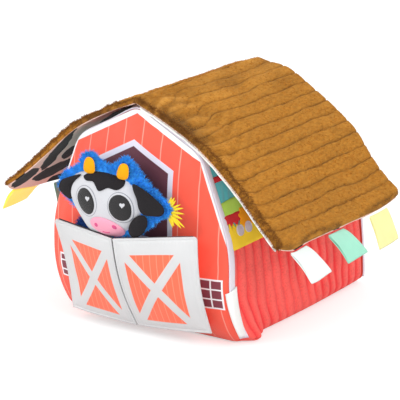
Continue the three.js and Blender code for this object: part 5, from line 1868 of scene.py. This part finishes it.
def makeCowBody():
    def upright(rise, own, loose, forward=0.0):
        def lean(spots, normals, source):
            return normals * own + np.array([0, forward, rise]) + source.normal(size=spots.shape) * loose
        return lean

    body = copyOfNode("cow_body", "cow_pocket_body", 0.0)
    dress(body, "cow", blueFur, "blue_fur", "cow_body")
    upper = lambda centres, normals: (centres[:, 2] > cow["bodyFurFrom"]) * 1.0
    lean = upright(0.8, 0.3, 0.3)
    growFur(body, "cow_body_fur", cow["bodyBlades"], 95, blueFur, upper, lean, (3.0, 6.0), 0.7, 0.4)

    chest = cow["chest"]
    loop = oval(chest["x"], chest["z"], chest["wide"], chest["tall"])
    front = lambda x, z, share: chest["front"] - 4 * (1 - share**3)
    back = lambda x, z, share: chest["back"] + 5 * (1 - share**3)
    pad = pressedBall("cow_pocket_chest", loop, loop.mean(axis=0), front, back, 10)
    # the chest in the pocket wears the darker fur copy, as painted shade
    dress(pad, "cow", shadedBlueFur, "blue_fur")
    facing = lambda centres, normals: (normals[:, 1] < 0.3) * 1.0
    lean = upright(0.7, 0.5, 0.35, forward=-0.2)
    growFur(pad, "cow_chest_fur", cow["chestBlades"], 97, shadedBlueFur, facing, lean, (2.5, 5.0), 0.6, 0.5)
    for name, (x, y, z, wide, tall, tilt) in cow["hooves"].items():
        hoof = oval(x, z, wide, tall, tilt=tilt)
        flatPad(f"cow_{name}_plush_hoof", hoof, y, 8.0, blackPile, "cow_black", f"cow_{name}_hoof")


def copyOfNode(node, name, shrink):
    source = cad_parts[node]
    deselectAll()
    piece = source.copy()
    piece.data = source.data.copy()
    piece.name = piece.data.name = name
    bpy.context.collection.objects.link(piece)
    for key in list(piece.keys()):
        del piece[key]
    turnOutwards(piece)
    smooth = piece.modifiers.new("rounder", "SUBSURF")
    smooth.levels = smooth.render_levels = 2
    applyModifiers(piece)
    if shrink:
        normals = np.array([vertex.normal[:] for vertex in piece.data.vertices])
        writePoints(piece, readPoints(piece) - normals * shrink * mm)
    return piece


straw = {
    "blades": 11,
    "steps": 7,
    "root": (56.0, -172.4, 138.0),
    "layer": 0.12,
    "spread": 3.5,
    "angles": (-1.15, 1.25),
    "longAngles": (-0.7, 0.6),
    "long": (17, 23),
    "short": (11, 15),
    "halfWidth": (1.0, 1.7),
    "droop": 1.2,
    "thickness": 0.5,
}


def makeStraw():
    source = np.random.default_rng(101)
    count, last = straw["blades"], straw["steps"] - 1
    points, faces = [], []
    for i in range(count):
        angle = lerp(*straw["angles"], i / (count - 1)) + source.uniform(-0.08, 0.08)
        lengths = straw["long"] if straw["longAngles"][0] < angle < straw["longAngles"][1] else straw["short"]
        length = source.uniform(*lengths)
        x, y, z = straw["root"]
        root = np.array([x, y - straw["layer"] * (i % 3), z + straw["spread"] * math.sin(angle)])
        ahead = np.array([math.cos(angle), 0, math.sin(angle)])
        beside = np.array([-math.sin(angle), 0, math.cos(angle)]) * source.uniform(*straw["halfWidth"])
        for step in range(last + 1):
            share = step / last
            width = math.sin(math.pi * (0.25 + 0.72 * share)) if share < 1 else 0.02
            spine = root + ahead * length * share + np.array([0, -straw["droop"] * share**2, 0])
            points += [spine - beside * width, spine + beside * width]
        start = i * 2 * (last + 1)
        faces += [[start + 2 * k, start + 2 * k + 1, start + 2 * k + 3, start + 2 * k + 2] for k in range(last)]
    piece = meshPiece("straw_felt_tuft", points, faces)
    thicken(piece, straw["thickness"], offset=0)
    return dress(piece, "cow", strawFelt, "straw_felt", "cow_straw_tuft")


makeCowHead()
makeCowEyes()
makeCowMuzzle()
makeCowForehead()
makeCowEars()
makeCowFurBack()
makeCowBody()
makeStraw()
print("cow ready")


# Hidden inner pieces

filling = copyOfNode("fibre_filling", "fibre_stuffing", 3.0)
dress(filling, "barn", fibreWhite, "filling", "fibre_filling")
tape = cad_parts["ridge_tape"]
tape.data.materials.clear()
tape.data.materials.append(whiteSatin)


# Room, light and camera

photo = {
    "azimuth": 34.2,
    "elevation": 16.4,
    "distance": 2.322,
    "target": (-9.59, -23.23, 102.38),
    "lens": 209.0,
    "sensor": 36.0,
}
room = {"floor": 8, "floorDrop": 0.0012, "floorGrey": 0.7, "floorGlow": 0.5, "ambient": 0.66, "aimHeight": 0.1}


def seenRay(tree):  # 1 where the camera looks, straight or through a reflection
    path = addNode(tree, "ShaderNodeLightPath")
    seen = calc(tree, "MAXIMUM", path.outputs["Is Camera Ray"], path.outputs["Is Glossy Ray"])
    return calc(tree, "MAXIMUM", seen, path.outputs["Is Transmission Ray"])


def makeFloor():
    deselectAll()
    bpy.ops.mesh.primitive_plane_add(size=room["floor"], location=(0, 0, -room["floorDrop"]))
    floor = bpy.context.object
    floor.name = "pale_floor"
    material = bpy.data.materials.new("paleFloor")
    material.use_nodes = True
    tree = material.node_tree
    shader = tree.nodes["Principled BSDF"]
    shader.inputs["Base Color"].default_value = (*[room["floorGrey"]] * 3, 1)
    shader.inputs["Roughness"].default_value = 0.95
    shader.inputs["Emission Color"].default_value = (1, 1, 1, 1)
    plug(tree, shader.inputs["Emission Strength"], calc(tree, "MULTIPLY", seenRay(tree), room["floorGlow"]))
    floor.data.materials.append(material)


def makeLights():
    world = bpy.data.worlds.new("softRoom")
    bpy.context.scene.world = world
    world.use_nodes = True
    tree = world.node_tree
    tree.nodes.clear()
    ambient = addNode(tree, "ShaderNodeBackground")
    ambient.inputs["Color"].default_value = (1, 1, 1, 1)
    ambient.inputs["Strength"].default_value = room["ambient"]
    seen = addNode(tree, "ShaderNodeBackground")
    seen.inputs["Color"].default_value = (1, 1, 1, 1)
    choose = addNode(tree, "ShaderNodeMixShader")
    output = addNode(tree, "ShaderNodeOutputWorld")
    plug(tree, choose.inputs[0], seenRay(tree))
    tree.links.new(ambient.outputs[0], choose.inputs[1])
    tree.links.new(seen.outputs[0], choose.inputs[2])
    tree.links.new(choose.outputs[0], output.inputs[0])
    lamps = [
        ("key", (-0.5, -1.7, 1.1), 0.9, 13.0),
        ("side", (1.7, -0.6, 1.1), 0.9, 12.0),
        ("low", (1.3, -1.7, 0.3), 0.8, 10.0),
        ("left", (-1.7, -0.9, 0.5), 0.9, 7.0),
        ("back", (0.4, 1.5, 1.3), 1.0, 6.0),
    ]
    for name, place, size, power in lamps:
        light = bpy.data.lights.new(name + "Lamp", "AREA")
        light.size = size
        light.energy = power
        lamp = bpy.data.objects.new(name + "Lamp", light)
        lamp.location = place
        aim = Vector((0, 0, room["aimHeight"])) - lamp.location
        lamp.rotation_euler = aim.to_track_quat("-Z", "Y").to_euler()
        bpy.context.collection.objects.link(lamp)


def makeCamera():
    azimuth, elevation = math.radians(photo["azimuth"]), math.radians(photo["elevation"])
    back = Vector((
        math.sin(azimuth) * math.cos(elevation),
        -math.cos(azimuth) * math.cos(elevation),
        math.sin(elevation),
    ))
    data = bpy.data.cameras.new("photoCamera")
    data.lens = photo["lens"]
    data.sensor_width = photo["sensor"]
    data.clip_end = 20
    camera = bpy.data.objects.new("photoCamera", data)
    camera.location = Vector(photo["target"]) * mm + back * photo["distance"]
    camera.rotation_euler = (-back).to_track_quat("-Z", "Y").to_euler()
    bpy.context.collection.objects.link(camera)
    bpy.context.scene.camera = camera


makeFloor()
makeLights()
makeCamera()
bpy.context.scene.view_settings.view_transform = "Standard"
deselectAll()
print("scene ready")
